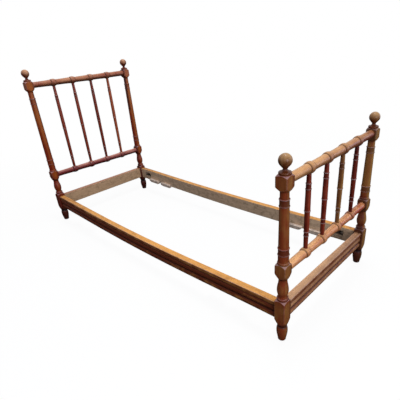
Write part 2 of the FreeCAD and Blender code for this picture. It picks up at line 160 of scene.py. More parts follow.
class Outline:
    """A turner's outline: points out from the axis and along it, in millimetres."""

    def __init__(self, out: float, along: float) -> None:
        """Starts at a point out from the axis and along it."""
        self.runs: list[Array] = [np.array([[out, along]], float)]

    @property
    def here(self) -> Array:
        """The last point drawn."""
        return self.runs[-1][-1]

    def line(self, *points: Point) -> "Outline":
        """Draws straight runs to each point in turn."""
        self.runs.append(np.array(points, float))
        return self

    def arc(self, middle: Point, end: Point) -> "Outline":
        """Draws a circle's arc, whose points are equal turns about its centre.

        The centre lies where the perpendicular bisectors of the two chords meet.

        Args:
            middle: a point that the arc passes through.
            end: the point where it ends.

        Returns:
            This outline.
        """
        a, b, c = (complex(*p) for p in (self.here, middle, end))
        w = (c - a) / (b - a)
        centre = a + (b - a) * (w - abs(w) ** 2) / (w - w.conjugate())
        first, half, last = (np.angle(p - centre) for p in (a, b, c))
        turn = (last - first) % math.tau
        if (half - first) % math.tau > turn:
            turn -= math.tau
        turns = np.linspace(0, turn, ARC_POINTS)[1:]
        spots = centre + abs(a - centre) * np.exp(1j * (first + turns))
        self.runs.append(np.stack((spots.real, spots.imag), axis=1))
        return self

    def bead(self, crest: float, edge: float, end: float) -> "Outline":
        """Draws a half-round bead up to its crest and back to an edge at its far end."""
        return self.arc((crest, (self.here[1] + end) / 2), (edge, end))

    def rings(self, places: tuple[float, ...], radii: tuple[Point, ...], half: float,
              crest: float) -> "Outline":
        """Draws a half-round ring at each place.

        Args:
            places: the rings' middles.
            radii: the radius that comes before each ring and the one after it.
            half: half a ring's width.
            crest: how far its crest stands out from the larger radius.

        Returns:
            This outline.
        """
        for place, (under, over) in zip(places, radii):
            self.line((under, place - half))
            self.arc((max(under, over) + crest, place), (over, place + half))
        return self

    def curve(self, *points: Point) -> "Outline":
        """Draws one smooth line through all the points.

        It is a cubic Hermite curve over the chords' length, whose slope at a point is the mean
        of the chords beside it.

        Args:
            points: the points after the last one drawn.

        Returns:
            This outline.
        """
        knots = np.vstack((self.here, points))
        reach = distance_along(knots)
        slopes = np.gradient(knots, reach, axis=0)
        spots = np.linspace(0, reach[-1], CURVE_POINTS * len(knots))[1:]
        n = np.clip(np.searchsorted(reach, spots) - 1, 0, len(knots) - 2)
        span = (reach[n + 1] - reach[n])[:, None]
        t = (spots - reach[n])[:, None] / span
        self.runs.append(knots[n] * (1 + 2 * t) * (1 - t) ** 2 + knots[n + 1] * t * t * (3 - 2 * t)
                         + span * (slopes[n] * t * (1 - t) ** 2 - slopes[n + 1] * t * t * (1 - t)))
        return self

    def rows(self, softness: float, longest: float, turn: float = 0.16,
             crowd_beyond: float = math.inf) -> Array:
        """Chooses the rows of a surface along the outline.

        The line is sampled at an even step and averaged with a bell-shaped weight, so that its
        corners are as soft as sanded wood. Rows then stand closer where it bends: the count in
        a stretch is its length over the longest step, plus its turning over the largest turn.

        Args:
            softness: spread of the bell-shaped weight, in millimetres.
            longest: largest step between rows on straight work, in millimetres.
            turn: largest turn between rows, in radians.
            crowd_beyond: radius past which sloping work gets a row each millimetre.

        Returns:
            One line per row: out from the axis, along it, and how far the point stands out
            from the outline's mean within a few millimetres.
        """
        line = np.concatenate(self.runs)
        line = line[np.append(True, np.diff(distance_along(line)) > WELD)]
        reach = distance_along(line)
        even = np.append(np.arange(0, reach[-1], SAMPLE_STEP), reach[-1])
        line = np.stack([np.interp(even, reach, column) for column in line.T], axis=1)
        soft = blurred(line, softness)
        relief = soft[:, 0] - blurred(soft, RELIEF_REACH)[:, 0]
        course = np.diff(soft, axis=0)
        heading = np.unwrap(np.arctan2(course[:, 1], course[:, 0]))
        bend = np.abs(np.gradient(heading)) / turn
        sloping = np.abs(course[:, 0]) > SLOPING * SAMPLE_STEP
        crowd = ((soft[:-1, 0] > crowd_beyond) & sloping) * SAMPLE_STEP
        count = np.append(0, np.cumsum(SAMPLE_STEP / longest + bend + crowd))
        chosen = np.linspace(0, count[-1], math.ceil(count[-1]) + 1)
        columns = (soft[:, 0], soft[:, 1], relief)
        return np.stack([np.interp(chosen, count, column) for column in columns], axis=1)


def distance_along(line: Array) -> Array:
    """How far each point of a line lies along it."""
    return np.append(0, np.cumsum(np.linalg.norm(np.diff(line, axis=0), axis=1)))


def blurred(line: Array, spread: float) -> Array:
    """Averages an evenly sampled line with a bell-shaped weight, turned over at its ends.

    Args:
        line: points on lines, one column per coordinate.
        spread: the weight's standard deviation, in millimetres.

    Returns:
        The averaged line, with its end points kept.
    """
    half = min(math.ceil(3 * spread / SAMPLE_STEP), len(line) - 1)
    weight = np.exp(-0.5 * (np.arange(-half, half + 1) * SAMPLE_STEP / spread) ** 2)
    before = 2 * line[0] - line[half:0:-1]
    after = 2 * line[-1] - line[-2:-half - 2:-1]
    long = np.vstack((before, line, after))
    return np.stack([np.convolve(column, weight / weight.sum(), "valid") for column in long.T], axis=1)


def grid_faces(rows: int, columns: int, closed: bool = False) -> Array:
    """Corners of the faces of a grid whose points are counted row by row.

    Args:
        rows: number of rows of points.
        columns: number of points in a row.
        closed: whether the last column joins the first.

    Returns:
        Four corners per face, facing the way of columns crossed with rows.
    """
    row, column = np.mgrid[0:rows - 1, 0:columns if closed else columns - 1]
    beside = (column + 1) % columns
    corners = (row * columns + column, row * columns + beside,
               (row + 1) * columns + beside, (row + 1) * columns + column)
    return np.stack(corners, axis=-1).reshape(-1, 4)


def linked(name: str, data: bpy.types.ID) -> bpy.types.Object:
    """Makes an object and links it to the scene.

    Args:
        name: the object's name.
        data: its mesh, light or camera.

    Returns:
        The object, at the origin.
    """
    made = bpy.data.objects.new(name, data)
    bpy.context.scene.collection.objects.link(made)
    return made


class Skin:
    """A surface under construction: its points, faces and the marks of age and painted light on each point.
    """

    # Each point's marks: a tone that also carries painted light, wear that also carries painted highlights,
    # and dirt that also carries painted shade
    MARKS = ("tone", "wear_and_highlight", "settled_and_shade")

    def __init__(self) -> None:
        """Starts an empty surface."""
        self.points: list[Array] = []
        self.marks: list[Array] = []
        self.faces: list[Array] = []
        self.finishes: list[Array] = []
        self.size = 0

    def add(self, points: Array, faces: Array, marks: Array, finish: int = 0) -> None:
        """Adds a patch.

        Args:
            points: places, in the last axis.
            faces: corners counted from the patch's first point; a third corner repeated as the
                fourth makes a triangle.
            marks: tone with painted light, wear with painted highlight, and dirt with painted shade of each
                point, in the last axis.
            finish: number of the patch's material.
        """
        spread = np.broadcast_to(marks, (*points.shape[:-1], len(self.MARKS)))
        self.points.append(points.reshape(-1, 3))
        self.marks.append(spread.reshape(-1, len(self.MARKS)))
        self.faces.append(faces + self.size)
        self.finishes.append(np.full(len(faces), finish))
        self.size += len(self.points[-1])

    def add_grid(self, points: Array, marks: Array, closed: bool = False, finish: int = 0) -> None:
        """Adds a patch of rows and columns, closed round its columns or open."""
        self.add(points, grid_faces(points.shape[0], points.shape[1], closed), marks, finish)

    def add_fan(self, loop: Array, marks: Array, finish: int = 0) -> None:
        """Closes a loop with triangles from its middle, facing the way that it winds round.

        Args:
            loop: places round the loop.
            marks: tone with painted light, wear with painted highlight, and dirt with painted shade of the
                whole loop or of each place.
            finish: number of the patch's material.
        """
        count = len(loop)
        here = np.arange(count)
        middle = np.full(count, count)
        loop_marks = np.broadcast_to(marks, (count, len(self.MARKS)))
        self.add(np.vstack((loop, loop.mean(axis=0))),
                 np.stack((here, (here + 1) % count, middle, middle), axis=1),
                 np.vstack((loop_marks, loop_marks.mean(axis=0))), finish)

    def build(self, name: str, materials: list[bpy.types.Material],
              turned_over: bool = False) -> bpy.types.Object:
        """Welds the patches where their points meet and makes the object.

        Args:
            name: the object's name.
            materials: one per finish number.
            turned_over: whether the patches face inwards as they were made.

        Returns:
            The object, at the origin, with its place in its mesh.
        """
        points = np.concatenate(self.points) * MM
        _, kept, merged = np.unique(np.round(points / WELD).astype(np.int64), axis=0,
                                    return_index=True, return_inverse=True)
        faces = merged.reshape(-1)[np.concatenate(self.faces)]
        if turned_over:
            faces = faces[:, ::-1]
        own = faces != np.roll(faces, 1, axis=1)
        real = own.sum(axis=1) > 2
        outlines = [face[keep].tolist() for face, keep in zip(faces[real], own[real])]
        mesh = bpy.data.meshes.new(name)
        mesh.from_pydata(points[kept], [], outlines)
        mesh.polygons.foreach_set("material_index", np.concatenate(self.finishes)[real].astype(np.int32))
        mesh.shade_smooth()
        marks = np.concatenate(self.marks)[kept].astype(np.float32)
        for mark, values in zip(self.MARKS, marks.T):
            mesh.attributes.new(mark, "FLOAT", "POINT").data.foreach_set("value", values.copy())
        for material in materials:
            mesh.materials.append(material)
        return linked(name, mesh)


def put_on_bed(made: bpy.types.Object, node: str) -> None:
    """Puts a finished piece on the bedstead in place of its CAD node, and reports it.

    Args:
        made: the piece's object.
        node: the CAD node that it replaces.
    """
    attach(made, BODY)
    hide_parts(node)
    LOG.info("%s: %d faces", made.name, len(made.data.polygons))


def add_node(tree: bpy.types.NodeTree, kind: str, inputs: dict[str | int, object] | None = None,
             **settings: object) -> bpy.types.Node:
    """Adds a shader node, sets it up and fills its inputs.

    Args:
        tree: the material's or world's node tree.
        kind: the node's type after "ShaderNode".
        inputs: for each input by name or number a value, an output to link, or a node whose
            first live output is linked.
        settings: the node's own properties.

    Returns:
        The node.
    """
    node = tree.nodes.new("ShaderNode" + kind)
    for name, value in settings.items():
        setattr(node, name, value)
    for socket, value in (inputs or {}).items():
        if isinstance(value, bpy.types.Node):
            value = next(output for output in value.outputs if output.enabled)
        if isinstance(value, bpy.types.NodeSocket):
            tree.links.new(value, node.inputs[socket])
        else:
            node.inputs[socket].default_value = value
    return node


def new_material(name: str) -> tuple[bpy.types.Material, bpy.types.NodeTree, bpy.types.NodeSocket]:
    """Starts a material.

    Args:
        name: the material's name.

    Returns:
        The material, its node tree and the place on the piece, which its patterns read.
    """
    material = bpy.data.materials.new(name)
    material.use_nodes = True
    material.node_tree.nodes.clear()
    place = add_node(material.node_tree, "TexCoord").outputs["Object"]
    return material, material.node_tree, place


def ranges(source: Point = WHOLE, target: Point = WHOLE) -> dict[str, float]:
    """The inputs that turn one range of values into another."""
    return dict(zip(("From Min", "From Max", "To Min", "To Max"), source + target))


def grain_scale(run: Run, across: float, along: float) -> Vector:
    """The scale of a noise whose cells have a real size.

    Args:
        run: the way of the grain.
        across: size of a cell across the grain, in millimetres.
        along: size of a cell along the grain, in millimetres.

    Returns:
        Cells to the metre each way.
    """
    scale = [1 / (across * MM)] * 3
    scale[run.value] = 1 / (along * MM)
    return Vector(scale)


@dataclass(frozen=True)
class ShellackedWood:
    """Close-grained beech, turned or moulded, stained and shellacked.

    The stain is darkest where it pooled, the shellac gives a soft gloss over it, and both have
    worn to a golden or pale tone where the piece was handled. The pooled colour also paints
    shade, the faded one paints the sides that face the light paler, and the rubbed one paints
    highlights. Beech's pores are a tenth of a millimetre wide, too fine to show, so its fibres
    are drawn some ten times as coarse.
    """

    name: str
    stain: str
    # The faded colour, which also paints the sides and tops that face the light paler
    faded_and_lit: str
    # The pooled stain's colour, which draws the fibres and also paints shade
    pooled_and_shade: str = "#260f08"
    # The worn colour, which also paints highlights on crests, arrises and upward shoulders
    wear_and_highlight: str = "#b89a9a"
    run: Run = Run.UPRIGHT
    gloss: float = 0.32
    gloss_swing: Point = (-0.05, 0.1)
    shellac: float = 0.2
    shellac_gloss: float = 0.28
    reflection: float = 0.22
    bloom: str = "#dcdaf4"
    variation: float = 0.2
    streak_across: float = 9.0
    streak_along: float = 210.0
    fibre_across: float = 1.2
    fibre_along: float = 38.0
    fibre_depth: float = 0.35
    fibre_show: Point = (0.5, 0.7)
    pore_depth: float = 0.25
    cloud: float = 48.0
    handled_from: Point = (0.35, 0.6)
    handled_share: Point = (0.35, 0.95)
    # How far the mark of dirt and painted shade turns the colour to the pooled one
    dirt_and_shade_cover: float = 0.88
    dirt_dulls: float = 0.25

    def material(self) -> bpy.types.Material:
        """Builds the node material.

        Returns:
            The material, which reads the piece's own place and its marks of tone with painted light, wear
            with painted highlight, and dirt with painted shade.
        """
        material, tree, place = new_material(self.name)
        tone, wear_and_highlight, settled_and_shade = (add_node(tree, "Attribute", attribute_name=mark).outputs["Fac"]
                                 for mark in Skin.MARKS)
        streaks, fibres = (
            add_node(tree, "TexNoise", {
                "Vector": add_node(tree, "Mapping", {"Vector": place, "Scale": scale}), "Scale": 1.0,
                "Detail": detail, "Roughness": roughness, "Distortion": distortion})
            for scale, detail, roughness, distortion in (
                (grain_scale(self.run, self.streak_across, self.streak_along), 3.0, 0.55, 0.3),
                (grain_scale(self.run, self.fibre_across, self.fibre_along), 4.0, 0.6, 0.0)))
        clouds = add_node(tree, "TexNoise", {
            "Vector": place, "Scale": 1 / (self.cloud * MM), "Detail": 2.0, "Roughness": 0.5})
        lift = tone
        for pattern in (streaks, clouds):
            swing = add_node(tree, "MapRange", {
                "Value": pattern, **ranges(NOISE_SPAN, (-self.variation, self.variation))})
            lift = add_node(tree, "Math", {0: lift, 1: swing}, operation="ADD")
        faded_and_lit = add_node(tree, "Clamp", {"Value": lift})
        fibrous = add_node(tree, "MapRange", {
            "Value": fibres, **ranges(self.fibre_show, (0.0, self.fibre_depth))})
        handled = add_node(tree, "MapRange", {
            "Value": clouds, **ranges(self.handled_from, self.handled_share)})
        worn_and_highlit = add_node(tree, "Math", {0: wear_and_highlight, 1: handled}, operation="MULTIPLY", use_clamp=True)
        # Dirt and painted shade take the pooled colour
        dirty_and_shaded = add_node(tree, "Math", {0: settled_and_shade, 1: self.dirt_and_shade_cover}, operation="MULTIPLY",
                         use_clamp=True)
        colour = linear(self.stain)
        for share, tint in ((faded_and_lit, self.faded_and_lit), (fibrous, self.pooled_and_shade), (worn_and_highlit, self.wear_and_highlight),
                            (dirty_and_shaded, self.pooled_and_shade)):
            colour = add_node(tree, "Mix", {SHARE: share, FIRST: colour, SECOND: linear(tint)},
                              data_type="RGBA")
        shiniest, dullest = (self.gloss + swing for swing in self.gloss_swing)
        dulled = add_node(tree, "MapRange", {
            "Value": streaks, **ranges(NOISE_SPAN, (shiniest, dullest))})
        roughness = add_node(tree, "Math", {0: settled_and_shade, 1: self.dirt_dulls, 2: dulled},
                             operation="MULTIPLY_ADD")
        bump = add_node(tree, "Bump", {
            "Height": fibres, "Strength": 0.35, "Distance": self.pore_depth * MM})
        shader = add_node(tree, "BsdfPrincipled", {
            "Base Color": colour, "Roughness": roughness, "Normal": bump, "IOR": 1.5,
            "Specular IOR Level": self.reflection, "Specular Tint": linear(self.bloom),
            "Coat Weight": self.shellac, "Coat Roughness": self.shellac_gloss,
            "Coat Tint": linear(self.bloom)})
        add_node(tree, "OutputMaterial", {"Surface": shader})
        return material


@dataclass(frozen=True)
class SawnWood:
    """Bare beech as the saw and plane left it, greyed and smudged by age.

    It has no gloss. Dust has darkened it unevenly, and the torn fibres show as streaks, which
    are drawn a few millimetres wide so that they can be seen.
    """

    name: str
    bare: str
    weathered: str
    smudge: str
    # The colour of dirt, which also paints the shade in the rails' pockets
    dirt_and_shade: str = "#120d0b"
    run: Run = Run.LENGTHWISE
    streak_across: float = 5.0
    streak_along: float = 90.0
    blotch: float = 30.0
    greyed_from: Point = (0.35, 0.65)
    smudged_from: Point = (0.5, 0.72)
    smudge_share: float = 0.7
    roughness: Point = (0.7, 0.95)
    saw_marks: float = 0.5

    def material(self) -> bpy.types.Material:
        """Builds the node material.

        Returns:
            The material, which reads the piece's own place and its mark of dirt and painted shade.
        """
        material, tree, place = new_material(self.name)
        streak_place = add_node(tree, "Mapping", {
            "Vector": place, "Scale": grain_scale(self.run, self.streak_across, self.streak_along)})
        streaks = add_node(tree, "TexNoise", {
            "Vector": streak_place, "Scale": 1.0, "Detail": 5.0, "Roughness": 0.65, "Distortion": 0.4})
        blotches = add_node(tree, "TexNoise", {
            "Vector": place, "Scale": 1 / (self.blotch * MM), "Detail": 4.0, "Roughness": 0.65})
        greyed = add_node(tree, "MapRange", {"Value": streaks, **ranges(self.greyed_from)})
        smudged = add_node(tree, "MapRange", {
            "Value": blotches, **ranges(self.smudged_from, (0.0, self.smudge_share))})
        # The mark of dirt and painted shade
        settled_and_shade = add_node(tree, "Attribute", attribute_name="settled_and_shade").outputs["Fac"]
        colour = linear(self.bare)
        for share, tint in ((greyed, self.weathered), (smudged, self.smudge), (settled_and_shade, self.dirt_and_shade)):
            colour = add_node(tree, "Mix", {SHARE: share, FIRST: colour, SECOND: linear(tint)},
                              data_type="RGBA")
        roughness = add_node(tree, "MapRange", {"Value": blotches, **ranges(target=self.roughness)})
        bump = add_node(tree, "Bump", {
            "Height": streaks, "Strength": 0.5, "Distance": self.saw_marks * MM})
        shader = add_node(tree, "BsdfPrincipled", {
            "Base Color": colour, "Roughness": roughness, "Normal": bump, "IOR": 1.45})
        add_node(tree, "OutputMaterial", {"Surface": shader})
        return material


@dataclass(frozen=True)
class RustedSteel:
    """Forged or turned mild steel that has browned: a dull metal with rust in patches."""

    name: str
    metal: str
    rust: str = "#4a2c1e"
    patch: float = 4.0
    rusted_from: Point = (0.42, 0.6)
    metallic: Point = (0.9, 0.15)
    roughness: Point = (0.42, 0.8)
    pitting: float = 0.2

    def material(self) -> bpy.types.Material:
        """Builds the node material.

        Returns:
            The material, which reads the piece's own place.
        """
        material, tree, place = new_material(self.name)
        patches = add_node(tree, "TexNoise", {
            "Vector": place, "Scale": 1 / (self.patch * MM), "Detail": 5.0, "Roughness": 0.7})
        rusted = add_node(tree, "MapRange", {"Value": patches, **ranges(self.rusted_from)})
        colour = add_node(tree, "Mix", {
            SHARE: rusted, FIRST: linear(self.metal), SECOND: linear(self.rust)}, data_type="RGBA")
        bare = add_node(tree, "MapRange", {"Value": rusted, **ranges(target=self.metallic)})
        roughness = add_node(tree, "MapRange", {"Value": rusted, **ranges(target=self.roughness)})
        bump = add_node(tree, "Bump", {
            "Height": patches, "Strength": 0.4, "Distance": self.pitting * MM})
        shader = add_node(tree, "BsdfPrincipled", {
            "Base Color": colour, "Metallic": bare, "Roughness": roughness, "Normal": bump})
        add_node(tree, "OutputMaterial", {"Surface": shader})
        return material


def slope(rows: Array) -> Array:
    """How steeply an outline widens at each of its rows."""
    return np.gradient(rows[:, 0]) / np.maximum(np.gradient(rows[:, 1]), LEAST_RISE)


def between(rings: tuple[float, ...], along: Array) -> Array:
    """One between the first two rings and between the last two, and nought elsewhere."""
    first, second, *_, third, fourth = rings
    return ((along > first) & (along < second) | (along > third) & (along < fourth)).astype(float)


@dataclass
class TurnedPiece:
    """What every piece off the lathe shares: its node, axis, outline and finish."""

    node: str
    finish: ShellackedWood
    slot: str = ""
    run: Run = Run.UPRIGHT
    softness: float = 0.35
    longest_step: float = 9.0
    crowd_beyond: float = math.inf
    columns: int = 64
    crest_height: float = 1.2
    hollow_depth: float = 1.6
    # Painted shade under a bead, on its downward flank
    bead_shade: float = 0.6
    bead_slope: float = 0.9
    # Painted shade on a rail's underside
    under_shade: float = 0.0
    under_facing: Point = (-0.3, 0.75)
    # Painted light: the side toward the light is made paler, as a power of the cosine from it
    painted_light_toward: float = 0.0
    painted_light_swing: float = 0.0
    painted_light_focus: float = 3.0

    def outline(self) -> Outline:
        """The outline from one end to the other, in millimetres."""
        raise NotImplementedError

    def tone(self, along: Array) -> Array:
        """How faded the finish is at each place along the piece."""
        raise NotImplementedError

    def dirt_and_shade(self, along: Array) -> Array:
        """How dark plain stretches are made, with dirt and painted shade, by place along the piece."""
        return np.zeros_like(along)

    def angles(self) -> Array:
        """The angle of each column, in radians."""
        return np.linspace(0, math.tau, self.columns, endpoint=False)

    def radius(self, rows: Array, angles: Array) -> Array:
        """The radius at each row and angle."""
        return np.repeat(rows[:, :1], len(angles), axis=1)

    def places(self, rows: Array, angles: Array) -> Array:
        """Places round the middle of the node's box: radius times cosine and sine, and along.

        Args:
            rows: rows of the outline.
            angles: angle of each column.

        Returns:
            Places in millimetres, rows by columns by three.
        """
        radius = self.radius(rows, angles)
        turned = np.broadcast_arrays(radius * np.cos(angles), radius * np.sin(angles), rows[:, 1:2])
        order = {Run.UPRIGHT: (0, 1, 2), Run.CROSSWISE: (1, 2, 0)}[self.run]
        low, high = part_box(self.node)
        axis = np.array((low + high) / 2) / MM
        axis[self.run.value] = 0
        return np.stack([turned[n] for n in order], axis=-1) + axis

    def marks(self, rows: Array, angles: Array) -> Array:
        """Marks of age and painted light, from how far a row stands out and which way it faces.

        On upright work, the upper flank of a bead is rubbed and painted with a highlight, and
        painted shade lies under it; hollows are made darker. The side that faces the light is
        painted paler, as a power of the cosine from it, and the underside of a rail gets painted
        shade.

        Args:
            rows: rows of the outline, with how far each stands out.
            angles: angle of each column.

        Returns:
            Tone with painted light, wear with painted highlight, and dirt with painted shade of each row
            and angle.
        """
        _, along, relief = rows.T
        rub_and_highlight_from, darkening_from = RUB_AND_HIGHLIGHT_START * self.crest_height, HOLLOW_DARKENING_START * self.hollow_depth
        # Crests are rubbed and painted with a highlight, and hollows are made darker
        wear_and_highlight = smooth_step(rub_and_highlight_from, self.crest_height, relief)
        settled_and_shade = smooth_step(darkening_from, self.hollow_depth, -relief)
        if self.run is Run.UPRIGHT:
            facing_down = smooth_step(0, self.bead_slope, slope(rows)) * smooth_step(0, rub_and_highlight_from, relief)
            wear_and_highlight = wear_and_highlight * (1 - facing_down)
            # Painted shade under each bead of upright work
            settled_and_shade = np.maximum(settled_and_shade, self.bead_shade * facing_down)
        by_row = np.stack((self.tone(along), wear_and_highlight, np.maximum(settled_and_shade, self.dirt_and_shade(along))), axis=-1)
        marks = np.repeat(by_row[:, None], len(angles), axis=1)
        # Painted light on the side that faces the light
        lit = np.maximum(np.cos(angles - self.painted_light_toward), 0)
        marks[..., 0] += self.painted_light_swing * lit ** self.painted_light_focus
        # Painted shade on the underside of a rail
        under = self.under_shade * smooth_step(*self.under_facing, -np.cos(angles))
        marks[..., 2] = np.maximum(marks[..., 2], under)
        return marks

    def build(self) -> None:
        """Turns the outline round its axis, the middle of the node's box, and closes both ends."""
        rows = self.outline().rows(self.softness, self.longest_step, crowd_beyond=self.crowd_beyond)
        angles = self.angles()
        marks = self.marks(rows, angles)
        points = self.places(rows, angles)
        skin = Skin()
        skin.add_grid(points, marks, closed=True)
        skin.add_fan(points[0][::-1], marks[0])
        skin.add_fan(points[-1], marks[-1])
        made = skin.build(f"{self.node}_turned", [self.finish.material()])
        put_on_bed(made, self.node)


@dataclass(kw_only=True)
class Post(TurnedPiece):
    """A post: a square blank turned round between three blocks that are left square.

    The blocks' shoulders are cones cut through the blank, so each face ends in an arch.
    """

    top_block: float
    shaft_rings: tuple[float, ...]
    tones: tuple[Point, ...]
    lift: float
    # Heights and how dark each is made toward the floor: dirt and painted shade
    dirt_and_shade_heights: tuple[Point, ...]
    # How much darker it is between two rings of a pair
    gap_darkening: float
    inward: float
    slot: str = "post_wood"
    columns: int = 26
    crowd_beyond: float = 22.0
    crest_height: float = 1.6
    painted_light_focus: float = 6.0
    half_blank: float = 25.0
    corner: float = 35.36
    arris: float = 34.0
    squareness: int = 30
    junction: float = 1.2
    corner_crowding: float = 1.6
    base_block: Point = (118.0, 210.0)
    middle_block: Point = (353.0, 388.0)
    block_height: float = 38.0
    seat_height: float = 46.0
    seat_radius: float = 23.5
    shaft_radii: tuple[Point, ...] = ((22.1, 21.9), (21.9, 21.25), (19.0, 19.1), (19.1, 17.6))
    ring_half: float = 3.0
    ring_crest: float = 2.0
    lift_from: Point = (400.0, 430.0)
    necks: tuple[Point, ...] = ((75.0, 102.0), (325.0, 347.0))
    neck_ease: Point = (4.0, 2.0)
    # Painted shade under the blocks, round the necks
    neck_shade: float = 0.8
    shoulder_width: float = 0.9
    # Wear and a painted highlight on the blocks' arrises and the lines of their shoulders
    edge_rub_and_highlight: float = 0.16
    edge_width: float = 1.2
    # A painted highlight on the blocks' upward shoulders
    cut_highlight: float = 0.6
    cut_slopes: Point = (0.3, 0.8)
    cut_reach: Point = (-1.0, 0.5)
    block_starts: Point = (-1.5, 1.0)
    block_cleared: float = 0.8
    # Painted shade, with some dirt, on the faces that the rails join
    joint_facing: Point = (0.3, 0.85)
    joint_dirt_and_shade: tuple[Point, ...] = (
        (0, 0.85), (235, 0.85), (260, 0.45), (320, 0.5), (345, 0.9), (400, 0.75), (420, 0.2),
        (690, 0.1), (710, 0.8), (1020, 0.8))

    def add_block(self, line: Outline, block: Point, neck: float, neck_at: float) -> None:
        """Cuts the shoulders of a block: out to the corner, along it and in to a neck."""
        line.line((self.corner, block[0]), (self.corner, block[1]), (neck, neck_at))

    def outline(self) -> Outline:
        """The outline of the bulb foot, base block, vase, middle block, shaft and top block.

        Returns:
            The outline from the sole to the finial's seat.
        """
        line = Outline(13.5, 0)
        line.arc((16.6, 1.9), (17.75, 7.04))
        line.curve((20, 19.4), (23.1, 37), (24.5, 52.8), (23.75, 66.9), (21.75, 75.2))
        line.arc((20, 78.8), (21.5, 82.3)).line((21.5, 88))
        self.add_block(line, self.base_block, 22.5, 221)
        line.line((23, 224)).arc((24.6, 228.6), (23, 233.1)).line((20, 233.6), (19.75, 236.2))
        line.curve((18.75, 239.7), (22.5, 253.3), (24.6, 269), (22.6, 289.7), (19.1, 307.9), (17.75, 322))
        self.add_block(line, self.middle_block, 23.5, 398)
        line.bead(24.6, 23.5, 406).arc((22.45, 407.25), (22.1, 411))
        line.rings(self.shaft_rings, self.shaft_radii, self.ring_half, self.ring_crest)
        line.line((17.4, self.top_block - 18))
        top = (self.top_block, self.top_block + self.block_height)
        self.add_block(line, top, self.seat_radius, self.top_block + self.seat_height)
        return line

    def tone(self, along: Array) -> Array:
        """How faded the finish is, between the heights that were looked at."""
        return np.interp(along, *zip(*self.tones)) + self.lift * smooth_step(*self.lift_from, along)

    def dirt_and_shade(self, along: Array) -> Array:
        """Darker toward the floor with dirt and painted shade, painted shade under blocks, and darker
        between two rings of a pair.

        Args:
            along: heights on the post.

        Returns:
            How dark each is made.
        """
        before, after = self.neck_ease
        necks = sum(smooth_step(low - before, low + after, along)
                    * (1 - smooth_step(high - after, high + before, along)) for low, high in self.necks)
        gaps = self.gap_darkening * between(self.shaft_rings, along)
        return np.interp(along, *zip(*self.dirt_and_shade_heights)) + gaps + self.neck_shade * necks

    def angles(self) -> Array:
        """Angles round the blank, close together at its four corners.

        In each quarter they lie either side of the corner, at 45 degrees times a share raised
        to the crowding.

        Returns:
            The angles in radians, in order.
        """
        share = np.linspace(-1, 1, self.columns + 1)[:-1]
        near = np.sign(share) * np.abs(share) ** self.corner_crowding
        return (QUARTER / 2 * (1 + near) + np.arange(4)[:, None] * QUARTER).ravel()

    def blank(self, angles: Array) -> Array:
        """The blank's radius: its half side over the n-th root of cosine and sine to the n, summed."""
        n = self.squareness
        return self.half_blank * (np.abs(np.cos(angles)) ** n + np.abs(np.sin(angles)) ** n) ** (-1 / n)

    def radius(self, rows: Array, angles: Array) -> Array:
        """The lesser of the outline's radius and the blank's, at each row and angle."""
        return soft_least(rows[:, :1], self.blank(angles), self.junction)

    def marks(self, rows: Array, angles: Array) -> Array:
        """Marks of age and painted light, also wear and painted highlight on the blocks' arrises and
        shoulders, and painted shade round the rails' joints.

        Args:
            rows: rows of the outline, with how far each stands out.
            angles: angle of each column.

        Returns:
            Tone with painted light, wear with painted highlight, and dirt with painted shade of each row
            and angle.
        """
        marks = super().marks(rows, angles)
        turned, along = rows[:, :1], rows[:, 1:2]
        blank = self.blank(angles)
        square = smooth_step(*self.block_starts, turned - self.half_blank)
        shoulder = np.exp(-((turned - blank) / self.shoulder_width) ** 2)
        edge = smooth_step(self.arris - self.edge_width, self.arris, self.radius(rows, angles))
        # Upward shoulders get a painted highlight, and arrises wear with a painted highlight
        cut = (smooth_step(*self.cut_slopes, -slope(rows)[:, None])
               * smooth_step(*self.cut_reach, blank - turned))
        eased = square * np.maximum(self.edge_rub_and_highlight * np.maximum(shoulder, edge), self.cut_highlight * cut)
        marks[..., 1] = np.maximum(marks[..., 1] * (1 - square), eased)
        # Darker toward the floor and round the rails' joints: dirt and painted shade
        plain = np.interp(along, *zip(*self.dirt_and_shade_heights))
        facing = smooth_step(*self.joint_facing, np.cos(angles - self.inward))
        joints = np.interp(along, *zip(*self.joint_dirt_and_shade)) * facing
        kept = marks[..., 2] * (1 - self.block_cleared * square)
        marks[..., 2] = np.maximum(kept, np.maximum(plain, joints))
        return marks


@dataclass(kw_only=True)
class Finial(TurnedPiece):
    """A ball on a disc, doweled into the post's top."""

    seat: float
    slot: str = "finial_wood"
    softness: float = 0.3
    longest_step: float = 2.5
    crest_height: float = 4.0
    # Painted light on the ball's lit side
    painted_light_swing: float = 0.15
    # Painted paler toward the ball's top, where light from above falls
    tones: tuple[Point, ...] = (
        (0, -0.1), (10, -0.1), (24, -0.2), (32, -0.1), (45, 0.2), (60, 0.6), (74, 1.0))

    def outline(self) -> Outline:
        """The outline of the disc, the neck and the ball, whose arc starts where a cone meets it.

        Returns:
            The outline from the disc's underside to the ball's top.
        """
        seat = self.seat
        line = Outline(22.5, seat)
        line.line((22.5, seat + 1.5)).bead(24.0, 22.5, seat + 9.5)
        line.curve((17.3, seat + 11), (11.0, seat + 13.9), (8.3, seat + 19))
        line.line((8.3, seat + 21), (20.0, seat + 34.5))
        return line.arc((25.0, seat + 49.5), (0.6, seat + 74.49))

    def tone(self, along: Array) -> Array:
        """The ball is painted paler toward its top, where light from above falls, and the neck and disc
        keep their stain.
        """
        return np.interp(along - self.seat, *zip(*self.tones))


